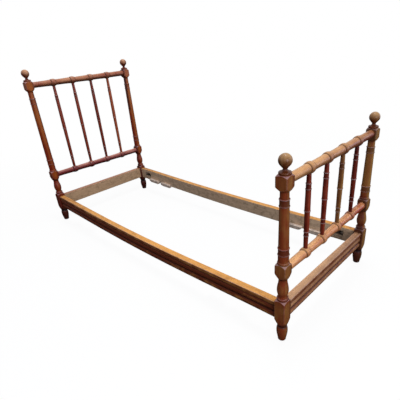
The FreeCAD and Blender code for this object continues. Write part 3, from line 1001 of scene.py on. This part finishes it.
@dataclass(kw_only=True)
class BambooRail(TurnedPiece):
    """A round rail carved as bamboo, with a node round each spindle between two scored grooves."""

    shoulder: float
    tones: Triple
    slot: str = "bamboo_rail_wood"
    run: Run = Run.CROSSWISE
    nodes: tuple[float, ...] = (-213.0, -71.0, 71.0, 213.0)
    node_half: float = 17.5
    node_crest: float = 24.2
    node_ease: float = 1.6
    groove_half: float = 1.3
    longest_step: float = 6.0
    crest_height: float = 4.5
    hollow_depth: float = 1.0
    # Stain pooled and painted shade in and beside the node grooves
    groove_dirt_and_shade: float = 0.65
    groove_flank: Point = (-9.0, -2.0)
    node_dirt: float = 0.12

    def tone(self, along: Array) -> Array:
        """How faded the rail is at its right end, middle and left end."""
        return np.interp(along, (-self.shoulder, 0, self.shoulder), self.tones)

    def dirt_and_shade(self, along: Array) -> Array:
        """Stain pooled and painted shade in each node's grooves and up its flanks, and stain thinly over it
        between them.

        Args:
            along: places along the rail.

        Returns:
            How dark each place is made.
        """
        edge = (np.abs(along[:, None] - np.array(self.nodes)) - self.node_half).min(axis=1)
        grooves = np.where(edge < 0, smooth_step(*self.groove_flank, edge), np.exp(-(edge / 2) ** 2))
        return np.maximum(self.groove_dirt_and_shade * grooves, self.node_dirt * (edge < 0))

    def outline(self) -> Outline:
        """The outline of the internodes, which swell toward each node, and of the nodes.

        Returns:
            The outline from the right post to the left one.
        """
        line = Outline(18.5, -self.shoulder - HOUSING)
        start = -self.shoulder
        for place in self.nodes:
            low, high = place - self.node_half, place + self.node_half
            end = low - self.groove_half
            span = end - start
            line.curve((18.5, start + 1), (18.7, start + 0.35 * span), (19.5, start + 0.75 * span),
                       (20.4, end))
            line.line((18.0, low), (21.8, low + self.node_ease))
            line.bead(self.node_crest, 21.4, high - self.node_ease)
            start = high + self.groove_half
            line.line((17.6, high), (18.5, start))
        line.curve((18.7, start + 0.4 * (self.shoulder - start)), (19.0, self.shoulder))
        return line.line((19.0, self.shoulder + HOUSING))


@dataclass(kw_only=True)
class Spindle(TurnedPiece):
    """A thin upright turned as bamboo, with five rings, between the two round rails."""

    top: float
    rings: tuple[float, ...]
    tone_rise: float
    slot: str = "spindle_wood"
    bottom: float = 382.0
    end_radius: float = 9.3
    end_length: float = 5.0
    radii: tuple[Point, ...] = ((10.0, 10.3), (10.3, 10.7), (11.6, 12.2), (11.3, 10.9), (10.9, 10.2))
    ring_half: float = 2.5
    ring_crest: float = 1.5
    columns: int = 40
    softness: float = 0.3
    crest_height: float = 0.85
    # Painted light and glint on the spindle's lit side
    painted_light_swing: float = 0.7
    # How much darker it is between two rings of a pair
    gap_darkening: float = 0.35
    least_tone: float = 0.05
    middle_tone: float = 0.2

    def dirt_and_shade(self, along: Array) -> Array:
        """Darker between two rings of a pair."""
        return self.gap_darkening * between(self.rings, along)

    def outline(self) -> Outline:
        """The outline of the spindle's body and its rings.

        Returns:
            The outline from inside the lower rail's node to inside the upper one's.
        """
        end = self.end_radius
        line = Outline(end, self.bottom).line((end, self.bottom + self.end_length))
        line.rings(self.rings, self.radii, self.ring_half, self.ring_crest)
        return line.line((end, self.top - self.end_length), (end, self.top))

    def tone(self, along: Array) -> Array:
        """A little more faded at the middle, where hands reach, and on the headboard at the top."""
        share = (along - self.bottom) / (self.top - self.bottom)
        return self.least_tone + self.middle_tone * np.sin(math.pi * share) + self.tone_rise * share


@dataclass
class MouldedRail:
    """A straight rail with a flat top member over two reeds, bare wood inside."""

    node: str
    finish: ShellackedWood
    bare: SawnWood
    run: Run
    outward: int
    half_length: float
    inner: float
    tones: Triple
    slot: str = "moulded_rail_wood"
    bottom: float = 118.0
    height: float = 82.0
    thickness: float = 34.0
    moulding: float = 15.0
    drop: float = 8.0
    top_member: float = 21.0
    quirk: float = 2.0
    quirk_depth: float = 7.0
    reed: float = 32.5
    reed_setback: float = 1.0
    reed_count: int = 2
    softness: float = 0.7
    lap: float = 6.0
    longest_step: float = 4.0
    largest_turn: float = 0.25
    stations: int = 120
    panel_rows: int = 17
    side_tones: Triple = (0.0, 0.0, 0.0)
    # A painted highlight on the reeds' crests, and painted light on their upper flanks
    crest_highlight: float = 0.3
    crest_band: Point = (-4.5, -1.2)
    flank_light: float = 0.15
    flank_turn: float = 150.0
    lower_tone: float = -0.1
    lower_edge: Point = (-1.0, 3.0)
    member_tone: float = 0.1
    member_edge: Point = (-1.0, 2.0)
    # Painted shade under the top member
    member_shade_strength: float = 0.3
    member_shade: float = 9.0
    quirk_bed: float = 0.4
    quirk_reach: float = 2.6
    top_band: Point = (-2.5, -0.6)
    arris_band: Point = (-3.0, -0.5)
    arris_relief: Point = (0.25, 0.8)
    # Wear and a painted highlight on the upper outer arris
    arris_rub_and_highlight: float = 0.55
    bare_within: float = 0.5
    sag: float = 0.0

    @property
    def quirk_floor(self) -> float:
        """How far out from the inner face the quirks' floors lie."""
        return self.thickness - self.quirk_depth

    @property
    def member_foot(self) -> float:
        """How far up from the bottom the top member starts."""
        return self.height - self.top_member

    def section(self) -> Array:
        """The section, out from the inner face and up from the bottom.

        It laps onto the inner face at both ends so that those corners are eased too.

        Returns:
            Its rows, from the inner face round underneath to the inner face again.
        """
        foot, back = self.quirk_floor, self.thickness - self.moulding
        crest = self.thickness - self.reed_setback
        line = Outline(0, self.lap).line((0, 0), (back, 0), (back, -self.drop), (foot, -self.drop))
        for n in range(self.reed_count):
            low = n * (self.reed + self.quirk) - self.drop
            line.line((foot, low)).arc((crest, low + self.reed / 2), (foot, low + self.reed))
        line.line((foot, self.member_foot), (self.thickness, self.member_foot))
        line.line((self.thickness, self.height), (0, self.height), (0, self.height - self.lap))
        return line.rows(self.softness, self.longest_step, self.largest_turn)

    def place(self, along: Array, out: Array | float, up: Array) -> Array:
        """Places points on the rail.

        Args:
            along: along the rail from its middle.
            out: out from its inner face.
            up: up from its bottom.

        Returns:
            Places in millimetres, lowered by the rail's sag.
        """
        level = self.bottom + up - hang(along, self.half_length, self.sag)
        side = self.outward * (self.inner + out)
        order = (along, side, level) if self.run is Run.LENGTHWISE else (side, along, level)
        return np.stack(np.broadcast_arrays(*order), axis=-1)

    def side_tone(self, along: Array, out: Array, up: Array) -> Array:
        """The tone of the moulding's side: a painted highlight on crests, painted light on upper flanks,
        and the lower reed and top member apart.

        Args:
            along: along the rail from its middle.
            out: out from its inner face.
            up: up from its bottom.

        Returns:
            The tone of each point.
        """
        plain = np.interp(along, (-self.half_length, 0, self.half_length), self.side_tones)
        crest = smooth_step(*self.crest_band, out - self.thickness)
        turn = (up + self.drop) / (self.reed + self.quirk) * math.tau
        upper_flank = np.sin(turn - math.radians(self.flank_turn))
        lower_reed = 1 - smooth_step(*self.lower_edge, up - (self.reed - self.drop))
        member = smooth_step(*self.member_edge, up - self.member_foot)
        # Crests get a painted highlight and upper flanks painted light
        reeds = (plain + self.crest_highlight * crest + self.flank_light * upper_flank
                 + self.lower_tone * lower_reed)
        return reeds + member * (self.member_tone - reeds)

    def marks(self, along: Array, out: Array, up: Array, relief: Array) -> Array:
        """Marks of age and painted light: the top is faded, the quirks and the top member's underside get
        painted shade, and the upper arrises are rubbed and painted with a highlight.

        Args:
            along: along the rail from its middle.
            out: out from its inner face.
            up: up from its bottom.
            relief: how far the section stands out.

        Returns:
            Tone with painted light, wear with painted highlight, and painted shade of each point.
        """
        top = np.interp(along, (-self.half_length, 0, self.half_length), self.tones)
        side = self.side_tone(along, out, up)
        tone = side + smooth_step(*self.top_band, up - self.height) * (top - side)
        foot, above = self.quirk_floor, up - self.member_foot
        # Painted shade in the quirks and under the top member
        shaded = 1 - smooth_step(self.quirk_bed, self.quirk_reach, out - foot)
        quirks = (above < 1) * (out > foot - 3) * shaded
        under_member = (smooth_step(*self.member_edge, above)
                        * (1 - smooth_step(0, self.member_shade, above)) * (out > foot))
        outer = smooth_step(*self.arris_band, out - self.thickness) * (up > self.height - 3)
        # Wear and a painted highlight on the upper outer arris
        wear_and_highlight = self.arris_rub_and_highlight * outer * smooth_step(*self.arris_relief, relief)
        settled_and_shade = np.maximum(quirks, self.member_shade_strength * under_member)
        return np.stack(np.broadcast_arrays(tone, wear_and_highlight, settled_and_shade), axis=-1)

    def spots(self) -> Array:
        """Places of the surface's rows along the rail."""
        return np.linspace(-self.half_length, self.half_length, self.stations)

    def unbroken(self, along: Array) -> Array:
        """Whether the inner face is whole at each place along the rail."""
        return np.full(along.shape, True)

    def add_openings(self, skin: Skin) -> None:
        """Adds what opens the inner face, which on a plain rail is nothing."""

    def build(self) -> None:
        """Carries the section along the rail and closes the inner face and the ends."""
        out, up, relief = self.section().T
        along = self.spots()[:, None]
        points = self.place(along, out, up)
        marks = self.marks(along, out, up, relief)
        skin = Skin()
        near = self.bare_within
        bare = (out < near) | ((up < near) & (out < self.quirk_floor - near))
        first = int(np.argmax(~bare))
        last = len(bare) - int(np.argmax(~bare[::-1])) - 1
        for low, high, finish in ((0, first, 1), (first, last, 0), (last, len(bare) - 1, 1)):
            skin.add_grid(points[:, low:high + 1], marks[:, low:high + 1] * (finish == 0), finish=finish)
        rise = np.linspace(self.height - self.lap, self.lap, self.panel_rows)
        panel = self.place(along, 0.0, rise)
        faces = grid_faces(len(along), len(rise)).reshape(len(along) - 1, -1, 4)
        whole = self.unbroken((along[1:, 0] + along[:-1, 0]) / 2)
        self.add_openings(skin)
        skin.add(panel, faces[whole].reshape(-1, 4), np.zeros(3), finish=1)
        for n, turn in ((0, -1), (-1, 1)):
            skin.add_fan(np.vstack((points[n], panel[n][1:-1]))[::turn], np.zeros(3), finish=1)
        turned_over = (self.outward < 0) == (self.run is Run.LENGTHWISE)
        materials = [self.finish.material(), self.bare.material()]
        put_on_bed(skin.build(f"{self.node}_moulded", materials, turned_over), self.node)


@dataclass
class SideRail(MouldedRail):
    """A moulded rail with a pocket for a bed nut toward each end of its inner face.

    Each pocket lies in a window of the face, whose rim it is joined to point for point.
    """

    pocket_span: Point = (850.0, 920.0)
    pocket_half: float = 13.5
    pocket_middle: float = 43.0
    pocket_depth: float = 23.0
    pocket_margin: float = 10.0
    # Dirt and painted shade round each pocket and in it, darkest at its floor
    rim_dirt_and_shade: float = 0.5
    pocket_shade: float = 0.95
    window_columns: int = 13
    window_rings: int = 5
    window_clear: float = 3.0
    wall_shares: tuple[float, ...] = (0.0, 0.15, 0.5, 1.0)
    side_tones: Triple = (-0.35, -0.3, -0.2)
    # A painted highlight on crests, painted light on upper flanks, and painted shade under the top member
    crest_highlight: float = 0.14
    flank_light: float = -0.06
    lower_tone: float = 0.17
    member_tone: float = 0.2
    member_shade_strength: float = 0.9
    quirk_reach: float = 4.2

    @property
    def window(self) -> Point:
        """The two ends of a pocket's window in the inner face."""
        return self.pocket_span[0] - self.pocket_margin, self.pocket_span[1] + self.pocket_margin

    def ring(self, *corners: complex) -> Array:
        """Points spaced evenly along the sides between four corners.

        Args:
            corners: the corners anticlockwise from the lower one that is farthest from the post;
                the real part is the place along the rail, and the imaginary part the height.

        Returns:
            The points, with as many on each side as the window has.
        """
        counts = (self.window_columns, self.panel_rows) * 2
        sides = zip(corners, corners[1:] + corners[:1], counts)
        return np.concatenate([np.linspace(start, end, count)[:-1] for start, end, count in sides])

    def rims(self) -> tuple[Array, Array]:
        """The rims of a window in the inner face and of the pocket in it, point for point.

        The pocket's wall side and its two long sides are straight, and its far end is half round.

        Returns:
            Both rims at the rail's positive end, in complex numbers.
        """
        low, high = self.window
        under, over = self.lap * 1j, (self.height - self.lap) * 1j
        window = self.ring(low + under, high + under, high + over, low + over)
        start, wall = self.pocket_span
        half, level = self.pocket_half, self.pocket_middle * 1j
        far, rise = start + half, half * 1j
        pocket = self.ring(far + level - rise, wall + level - rise, wall + level + rise, far + level + rise)
        turns = np.linspace(QUARTER, 3 * QUARTER, self.panel_rows)[:-1]
        pocket[1 - self.panel_rows:] = far + level + half * np.exp(1j * turns)
        return window, pocket

    def add_pocket(self, skin: Skin, heading: int) -> None:
        """Adds the face round a pocket, the pocket's wall and its floor.

        Args:
            skin: the rail's surface.
            heading: which end of the rail the pocket is at.
        """
        window, rim = self.rims()
        if heading < 0:
            window, rim = (np.roll(-loop[::-1].conj(), 1) for loop in (window, rim))
        share = np.linspace(0, 1, self.window_rings)[:, None]
        between_rims = window + (rim - window) * share
        face = self.place(between_rims.real, 0.0, between_rims.imag)
        deep = np.array(self.wall_shares)[:, None]
        wall = self.place(rim.real, deep * self.pocket_depth, rim.imag)
        # The face near the rim gets dirt and painted shade, and the pocket's painted shade deepens toward
        # its floor
        near_rim = self.rim_dirt_and_shade * smooth_step(0.5, 1, share)
        in_pocket = self.rim_dirt_and_shade + (self.pocket_shade - self.rim_dirt_and_shade) * deep
        for points, dirt_and_shade in ((face, near_rim), (wall, in_pocket)):
            marks = np.zeros(points.shape)
            marks[..., 2] = dirt_and_shade
            skin.add_grid(points, marks, closed=True, finish=1)
        skin.add_fan(wall[-1], np.array([0, 0, self.pocket_shade]), finish=1)

    def spots(self) -> Array:
        """Places of the surface's rows: even ones clear of the windows, and the windows' own.

        Returns:
            The places along the rail, in order.
        """
        even, (low, high) = super().spots(), self.window
        own = np.linspace(low, high, self.window_columns)
        clear = (np.abs(even) < low - self.window_clear) | (np.abs(even) > high + self.window_clear)
        return np.sort(np.concatenate((even[clear], own, -own)))

    def unbroken(self, along: Array) -> Array:
        """Whether each place along the rail is outside the windows."""
        return (np.abs(along) < self.window[0]) | (np.abs(along) > self.window[1])

    def add_openings(self, skin: Skin) -> None:
        """Adds a pocket toward each end."""
        for heading in (1, -1):
            self.add_pocket(skin, heading)


@dataclass
class RailFitting:
    """A cleat or the screws on a side rail: the CAD solids, which hang as low as the rail there."""

    node: str
    slot: str
    finish: SawnWood | RustedSteel
    half_length: float
    sag: float
    ease: float
    ease_segments: int = 2
    ease_angle: float = 40.0

    def build(self) -> None:
        """Copies the node's mesh, merges its flat faces, lowers it and rounds its edges."""
        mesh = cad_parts[self.node].data.copy()
        made = linked(f"{self.node}_eased", mesh)
        merge_flats(mesh)
        places = np.empty(3 * len(mesh.vertices), np.float32)
        mesh.vertices.foreach_get("co", places)
        places = places.reshape(-1, 3)
        places[:, 2] -= hang(places[:, 0] / MM, self.half_length, self.sag) * MM
        mesh.vertices.foreach_set("co", places.ravel())
        mesh.materials.clear()
        mesh.materials.append(self.finish.material())
        bevel = made.modifiers.new("ease", "BEVEL")
        bevel.width = self.ease * MM
        bevel.segments = self.ease_segments
        bevel.limit_method = "ANGLE"
        bevel.angle_limit = math.radians(self.ease_angle)
        put_on_bed(made, self.node)


def merge_flats(mesh: bpy.types.Mesh) -> None:
    """Merges a mesh's loose triangles and dissolves the edges inside its flat faces.

    Args:
        mesh: a copy of a CAD node's mesh.
    """
    work = bmesh.new()
    work.from_mesh(mesh)
    bmesh.ops.remove_doubles(work, verts=work.verts, dist=CAD_WELD)
    bmesh.ops.dissolve_limit(work, angle_limit=FLAT, verts=work.verts, edges=work.edges)
    work.to_mesh(mesh)
    work.free()
    mesh.shade_flat()


@dataclass
class Ironwork:
    """The bed studs with their nuts and washers: CAD nodes in browned steel."""

    stud: RustedSteel = RustedSteel("browned_stud_steel", "#9a938a")
    nut: RustedSteel = RustedSteel("rusted_nut_steel", "#a39c92", rust="#5a3a28")

    def build(self) -> None:
        """Gives each node its steel."""
        stud, nut = self.stud.material(), self.nut.material()
        for kind, steel in (("stud", stud), ("nut", nut), ("washer", nut)):
            for name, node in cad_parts.items():
                if f"_{kind}_" in name:
                    node.data.materials.clear()
                    node.data.materials.append(steel)
                    LOG.info("%s: %s", name, steel.name)


# The spindles' finishes, which both ends share; the pale colour of each also paints highlights on the rings
RED_SPINDLE, DARK_SPINDLE, WARM_SPINDLE, BROWN_SPINDLE = (
    ShellackedWood(f"shellacked_beech_{kind}_spindle", stain, faded_and_lit, wear_and_highlight="#b59a94")
    for kind, stain, faded_and_lit in (("red", "#56150c", "#964028"), ("dark", "#4a120a", "#86341e"),
                               ("warm", "#742610", "#b45a34"), ("brown", "#6d4226", "#a4743c")))


@dataclass(frozen=True)
class RailWear:
    """How a round rail has aged and is painted: its tones from right to left, painted light on its lit side
    and painted shade on its underside.
    """

    tones: Triple
    # Painted light on the lit side and painted shade on the underside
    painted_light_focus: float
    painted_light_swing: float
    under_shade: float


@dataclass
class Headboard:
    """The taller end: two posts with finials, two round rails, four spindles and a cross rail.

    It is redder than the other end, and painted paler on the sides that face the light. Values
    in pairs are for the right side and the left one.
    """

    end: End = End.HEAD
    block: float = 971.0
    post_rings: tuple[float, ...] = (449.1, 481.8, 874.7, 908.0)
    spindle_rings: tuple[float, ...] = (446.1, 468.8, 674.6, 881.6, 905.4)
    post: ShellackedWood = ShellackedWood("shellacked_beech_head_post", "#882c14", "#b06020")
    post_tones: tuple[Point, ...] = (
        (0, -0.3), (118, -0.3), (221, -0.2), (270, -0.1), (322, -0.3), (350, 0.0), (370, 0.2),
        (395, 0.0), (411, -0.2), (490, 0.0), (700, 0.35), (860, 0.4), (880, 0.2), (953, 0.25),
        (990, 0.6), (1017, 0.1))
    # Darker toward the floor: dirt and painted shade
    post_dirts: tuple[tuple[Point, ...], tuple[Point, ...]] = (
        ((0, 1.0), (100, 0.8), (118, 0.55), (210, 0.5), (221, 0.3), (353, 0.1), (388, 0.0)),) * 2
    post_lifts: Point = (0.0, 0.0)
    # Painted light on each post's lit side, right and left
    post_swings: Point = (0.6, 0.75)
    # How much darker it is between two rings of a pair
    gap_darkening: float = 0.25
    # The finials' pale colour is also the painted highlight on the balls
    finial: ShellackedWood = ShellackedWood(
        "shellacked_beech_head_finial", "#702a14", "#cc9870", wear_and_highlight="#c79a6c", streak_across=14,
        streak_along=60, shellac=0.1)
    top_rail: ShellackedWood = ShellackedWood(
        "shellacked_beech_head_top_rail", "#8c2e18", "#d09468", run=Run.CROSSWISE)
    # Tones, painted light on the lit side and painted shade underneath
    top_wear: RailWear = RailWear((0.45, 0.5, 0.25), painted_light_focus=3.0, painted_light_swing=0.4, under_shade=0.8)
    lower_rail: ShellackedWood = ShellackedWood(
        "shellacked_beech_head_lower_rail", "#74221c", "#d4917a", run=Run.CROSSWISE)
    lower_wear: RailWear = RailWear((-0.2, 0.0, 0.15), painted_light_focus=2.0, painted_light_swing=0.85, under_shade=0.95)
    spindles: tuple[ShellackedWood, ...] = (RED_SPINDLE, RED_SPINDLE, DARK_SPINDLE, WARM_SPINDLE)
    spindle_rise: float = 0.5
    cross_rail: ShellackedWood = ShellackedWood(
        "moulded_beech_head_cross_rail", "#7a3c22", "#c8885c", run=Run.CROSSWISE, streak_across=7,
        streak_along=320, gloss=0.42, shellac=0.08, variation=0.12)
    cross_tones: Triple = (0.5, 0.6, 0.7)
    cross_inside: SawnWood = SawnWood(
        "sawn_beech_cross_rail", "#cba783", "#b29070", "#8c6f54", run=Run.CROSSWISE)
    shoulder: float = 355.0
    inner: float = 990.0
    cross_stations: int = 60

    def build(self) -> None:
        """Builds each piece of the end."""
        name = self.end.value
        for side, dirt_and_shade_heights, lift, swing in zip(Side, self.post_dirts, self.post_lifts, self.post_swings):
            post = Post(f"{name}_post_{side.value}", self.post, top_block=self.block,
                        shaft_rings=self.post_rings, tones=self.post_tones, dirt_and_shade_heights=dirt_and_shade_heights, lift=lift,
                        painted_light_swing=swing, gap_darkening=self.gap_darkening, inward=-OUTWARD[side] * QUARTER)
            post.build()
            Finial(f"{name}_finial_{side.value}", self.finial, seat=self.block + post.seat_height).build()
        for row, finish, wear in (("top", self.top_rail, self.top_wear),
                                  ("lower", self.lower_rail, self.lower_wear)):
            BambooRail(f"{name}_{row}_rail", finish, shoulder=self.shoulder, tones=wear.tones,
                       painted_light_focus=wear.painted_light_focus, painted_light_swing=wear.painted_light_swing,
                       under_shade=wear.under_shade).build()
        for n, finish in enumerate(self.spindles, 1):
            Spindle(f"{name}_spindle_{n}", finish, rings=self.spindle_rings, top=self.block + HOUSING,
                    tone_rise=self.spindle_rise).build()
        MouldedRail(f"{name}_cross_rail", self.cross_rail, self.cross_inside, Run.CROSSWISE,
                    OUTWARD[self.end], self.shoulder + HOUSING, self.inner, self.cross_tones,
                    stations=self.cross_stations).build()


@dataclass
class Footboard(Headboard):
    """The lower end, built in the same way and worn to a golden brown, its left post most."""

    end: End = End.FOOT
    block: float = 721.0
    post_rings: tuple[float, ...] = (440.1, 468.2, 646.0, 673.4)
    spindle_rings: tuple[float, ...] = (445.1, 465.0, 559.5, 654.6, 678.1)
    post: ShellackedWood = ShellackedWood("shellacked_beech_foot_post", "#853b1e", "#a4763c")
    post_tones: tuple[Point, ...] = (
        (0, -0.1), (50, 0.15), (85, -0.1), (110, 0.25), (200, 0.3), (221, -0.1), (240, -0.1),
        (275, 0.15), (322, -0.05), (350, 0.25), (395, 0.25), (411, -0.1), (440, -0.1), (490, 0.1),
        (600, 0.15), (646, 0.1), (703, 0.0), (718, 0.2), (760, 0.2), (767, -0.2))
    # Darker toward the floor: dirt and painted shade
    post_dirts: tuple[tuple[Point, ...], tuple[Point, ...]] = (
        ((0, 0.5), (30, 0.15), (100, 0.1), (118, 0.0)),
        ((0, 1.0), (90, 0.8), (118, 0.15), (210, 0.0)))
    post_lifts: Point = (0.0, 0.45)
    # Painted light on each post's lit side, right and left
    post_swings: Point = (0.3, 0.9)
    gap_darkening: float = 0.55
    # The finials' pale colour is also the painted highlight on the balls
    finial: ShellackedWood = ShellackedWood(
        "shellacked_beech_foot_finial", "#643012", "#b28a5a", wear_and_highlight="#c4a684", streak_across=14,
        streak_along=60, shellac=0.1)
    top_rail: ShellackedWood = ShellackedWood(
        "shellacked_beech_foot_top_rail", "#7e3c24", "#d8a26a", run=Run.CROSSWISE, variation=0.14,
        shellac=0.1, reflection=0.14)
    # Tones, painted light on the lit side and painted shade underneath
    top_wear: RailWear = RailWear((0.55, 0.3, -0.15), painted_light_focus=1.2, painted_light_swing=0.55, under_shade=0.65)
    lower_rail: ShellackedWood = ShellackedWood(
        "shellacked_beech_foot_lower_rail", "#a03a1c", "#f6b87c", run=Run.CROSSWISE, shellac=0.12,
        reflection=0.16)
    lower_wear: RailWear = RailWear((0.7, 0.45, 0.0), painted_light_focus=2.0, painted_light_swing=0.4, under_shade=0.45)
    spindles: tuple[ShellackedWood, ...] = (RED_SPINDLE, RED_SPINDLE, BROWN_SPINDLE, DARK_SPINDLE)
    spindle_rise: float = 0.0
    cross_rail: ShellackedWood = ShellackedWood(
        "moulded_beech_foot_cross_rail", "#7a4022", "#e8b484", run=Run.CROSSWISE, streak_across=7,
        streak_along=320, gloss=0.42, shellac=0.08, variation=0.12)
    cross_tones: Triple = (1.0, 0.85, 0.4)


@dataclass
class BedSide:
    """A side of the bed: a moulded rail that sags with age, its four cleats and their screws."""

    side: Side
    sag: float
    top_tones: Triple
    shoulder: float = 982.0
    inner: float = 363.0
    cleat_ease: float = 0.9
    screw_ease: float = 0.3
    rail: ShellackedWood = ShellackedWood(
        "moulded_beech_side_rail", "#68301c", "#eeab5c", run=Run.LENGTHWISE, streak_across=7,
        streak_along=320, gloss=0.5, shellac=0.0, reflection=0.12, variation=0.2, fibre_depth=0.5)
    inside: SawnWood = SawnWood("sawn_beech_side_rail", "#d6b89a", "#b3987d", "#7a6450")
    cleat: SawnWood = SawnWood("sawn_beech_cleat", "#dccabb", "#c0ac9c", "#77685d")
    # Near-black rusted steel, whose dark colour also paints the shade in the screw holes
    screw: RustedSteel = RustedSteel("rusted_screw_steel_and_shade", "#1c1815", rust="#140e0b", patch=2.0)

    def build(self) -> None:
        """Builds the rail and hangs the cleats and screws on it."""
        side, reach = self.side.value, self.shoulder + HOUSING
        SideRail(f"side_rail_{side}", self.rail, self.inside, Run.LENGTHWISE, OUTWARD[self.side],
                 reach, self.inner, self.top_tones, sag=self.sag).build()
        for end in End:
            for row in Row:
                RailFitting(f"{end.value}_{row.value}_cleat_{side}", "cleat_wood", self.cleat,
                            reach, self.sag, self.cleat_ease).build()
        RailFitting(f"cleat_screws_{side}", "screw_steel", self.screw, reach, self.sag,
                    self.screw_ease).build()


@dataclass(frozen=True)
class SoftLight:
    """A square lamp or window that faces the bed; one that only glosses gives it no other light."""

    name: str
    place: Triple
    size: float
    power: float
    colour: str = "#ffffff"
    only_glosses: bool = False


@dataclass
class Studio:
    """A plain pale room with soft light, seen by the photograph's camera."""

    focal_pixels: float = 359.6
    image_pixels: float = 400.0
    centre_pixels: Point = (219.875, 219.993)
    sensor: float = 36.0
    position: Triple = (1.65547, -1.38195, 1.20529)
    turns: Triple = (62.8741, 3.6647, 42.4292)
    floor_half: float = 30.0
    floor_drop: float = 0.0005
    floor: str = "#34302d"
    shadow_share: float = 0.93
    shadow_reach: Point = (1.5, 3.5)
    sky: str = "#e9edf7"
    wall_light: float = 0.14
    ceiling_light: float = 0.95
    aim: Triple = (0.0, 0.0, 0.4)
    lights: tuple[SoftLight, ...] = (
        SoftLight("overhead", (0.6, 0.4, 5.0), 1.4, 85.0),
        SoftLight("foot_side", (5.0, -2.0, 1.6), 2.0, 105.0),
        SoftLight("far_window", (4.4, 4.4, 1.5), 3.4, 90.0, "#e8eaff", only_glosses=True))

    def build(self) -> None:
        """Adds the camera, floor, lights and sky."""
        self.add_camera()
        self.add_floor()
        for light in self.lights:
            self.add_light(light)
        self.add_sky()
        bpy.context.scene.view_settings.view_transform = "Standard"

    def add_camera(self) -> None:
        """Sets the camera where the photograph was taken from, with its framing as a shift."""
        data = bpy.data.cameras.new("camera")
        data.sensor_width = self.sensor
        data.lens = self.focal_pixels / self.image_pixels * self.sensor
        data.shift_x = (self.image_pixels / 2 - self.centre_pixels[0]) / self.image_pixels
        data.shift_y = (self.centre_pixels[1] - self.image_pixels / 2) / self.image_pixels
        camera = linked("camera", data)
        camera.location = self.position
        camera.rotation_euler = Euler([math.radians(turn) for turn in self.turns])
        bpy.context.scene.camera = camera

    def add_floor(self) -> None:
        """Lays a pale floor that shows white to the camera and keeps a soft shadow near the bed.

        Light that bounces off it onto the bed is that of a darker ground.
        """
        half = self.floor_half
        mesh = bpy.data.meshes.new("floor")
        corner_points = [(-half, -half), (half, -half), (half, half), (-half, half)]
        mesh.from_pydata([(x, y, -self.floor_drop) for x, y in corner_points], [], [(0, 1, 2, 3)])
        floor = linked("floor", mesh)
        material, tree, place = new_material("pale_floor")
        seen = add_node(tree, "LightPath").outputs["Is Camera Ray"]
        away = add_node(tree, "VectorMath", {0: place}, operation="LENGTH")
        clearing = add_node(tree, "MapRange", {
            "Value": away, **ranges(self.shadow_reach, (self.shadow_share, 1.0))})
        colour = add_node(tree, "Mix", {
            SHARE: seen, FIRST: linear(self.floor), SECOND: linear("#ffffff")}, data_type="RGBA")
        ground = add_node(tree, "BsdfDiffuse", {"Color": colour})
        white = add_node(tree, "Emission", {"Color": linear("#ffffff"), "Strength": 1.0})
        share = add_node(tree, "Math", {0: seen, 1: clearing}, operation="MULTIPLY")
        shown = add_node(tree, "MixShader", {0: share, 1: ground, 2: white})
        add_node(tree, "OutputMaterial", {"Surface": shown})
        mesh.materials.append(material)

    def add_light(self, light: SoftLight) -> None:
        """Hangs a soft light.

        Args:
            light: the lamp or window.
        """
        data = bpy.data.lights.new(light.name, "AREA")
        data.size = light.size
        data.energy = light.power
        data.color = linear(light.colour)[:3]
        lamp = linked(light.name, data)
        lamp.location = light.place
        lamp.visible_diffuse = not light.only_glosses
        lamp.visible_camera = False
        toward = Vector(self.aim) - Vector(light.place)
        lamp.rotation_euler = toward.to_track_quat("-Z", "Y").to_euler()

    def add_sky(self) -> None:
        """Fills the room with light that grows from the walls up; camera and gloss see it white."""
        world = bpy.data.worlds.new("room")
        world.use_nodes = True
        tree = world.node_tree
        tree.nodes.clear()
        heading = add_node(tree, "SeparateXYZ", {0: add_node(tree, "TexCoord").outputs["Generated"]})
        strength = add_node(tree, "MapRange", {
            "Value": heading.outputs["Z"], **ranges(target=(self.wall_light, self.ceiling_light))})
        path = add_node(tree, "LightPath").outputs
        clear = path["Is Camera Ray"]
        for ray in ("Is Glossy Ray", "Is Transmission Ray"):
            clear = add_node(tree, "Math", {0: clear, 1: path[ray]}, operation="MAXIMUM")
        light = add_node(tree, "Background", {"Color": linear(self.sky), "Strength": strength})
        white = add_node(tree, "Background", {"Color": linear("#ffffff"), "Strength": 1.0})
        shown = add_node(tree, "MixShader", {0: clear, 1: light, 2: white})
        add_node(tree, "OutputWorld", {"Surface": shown})
        bpy.context.scene.world = world


def corners(box: tuple[Vector, Vector]) -> list[list[float]]:
    """A box's two corners as plain lists of numbers."""
    return [[float(value) for value in corner] for corner in box]


def main() -> None:
    """Builds the woodwork, the ironwork and the studio."""
    logging.basicConfig(level=logging.INFO, format="%(name)s %(message)s")
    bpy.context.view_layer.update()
    near_side = BedSide(Side.RIGHT, sag=24.0, top_tones=(0.6, 1.0, 0.85))
    far_side = BedSide(Side.LEFT, sag=14.0, top_tones=(0.6, 0.9, 0.8))
    for assembly in (Headboard(), Footboard(), near_side, far_side, Ironwork(), Studio()):
        assembly.build()


if __name__ == "__main__":
    main()
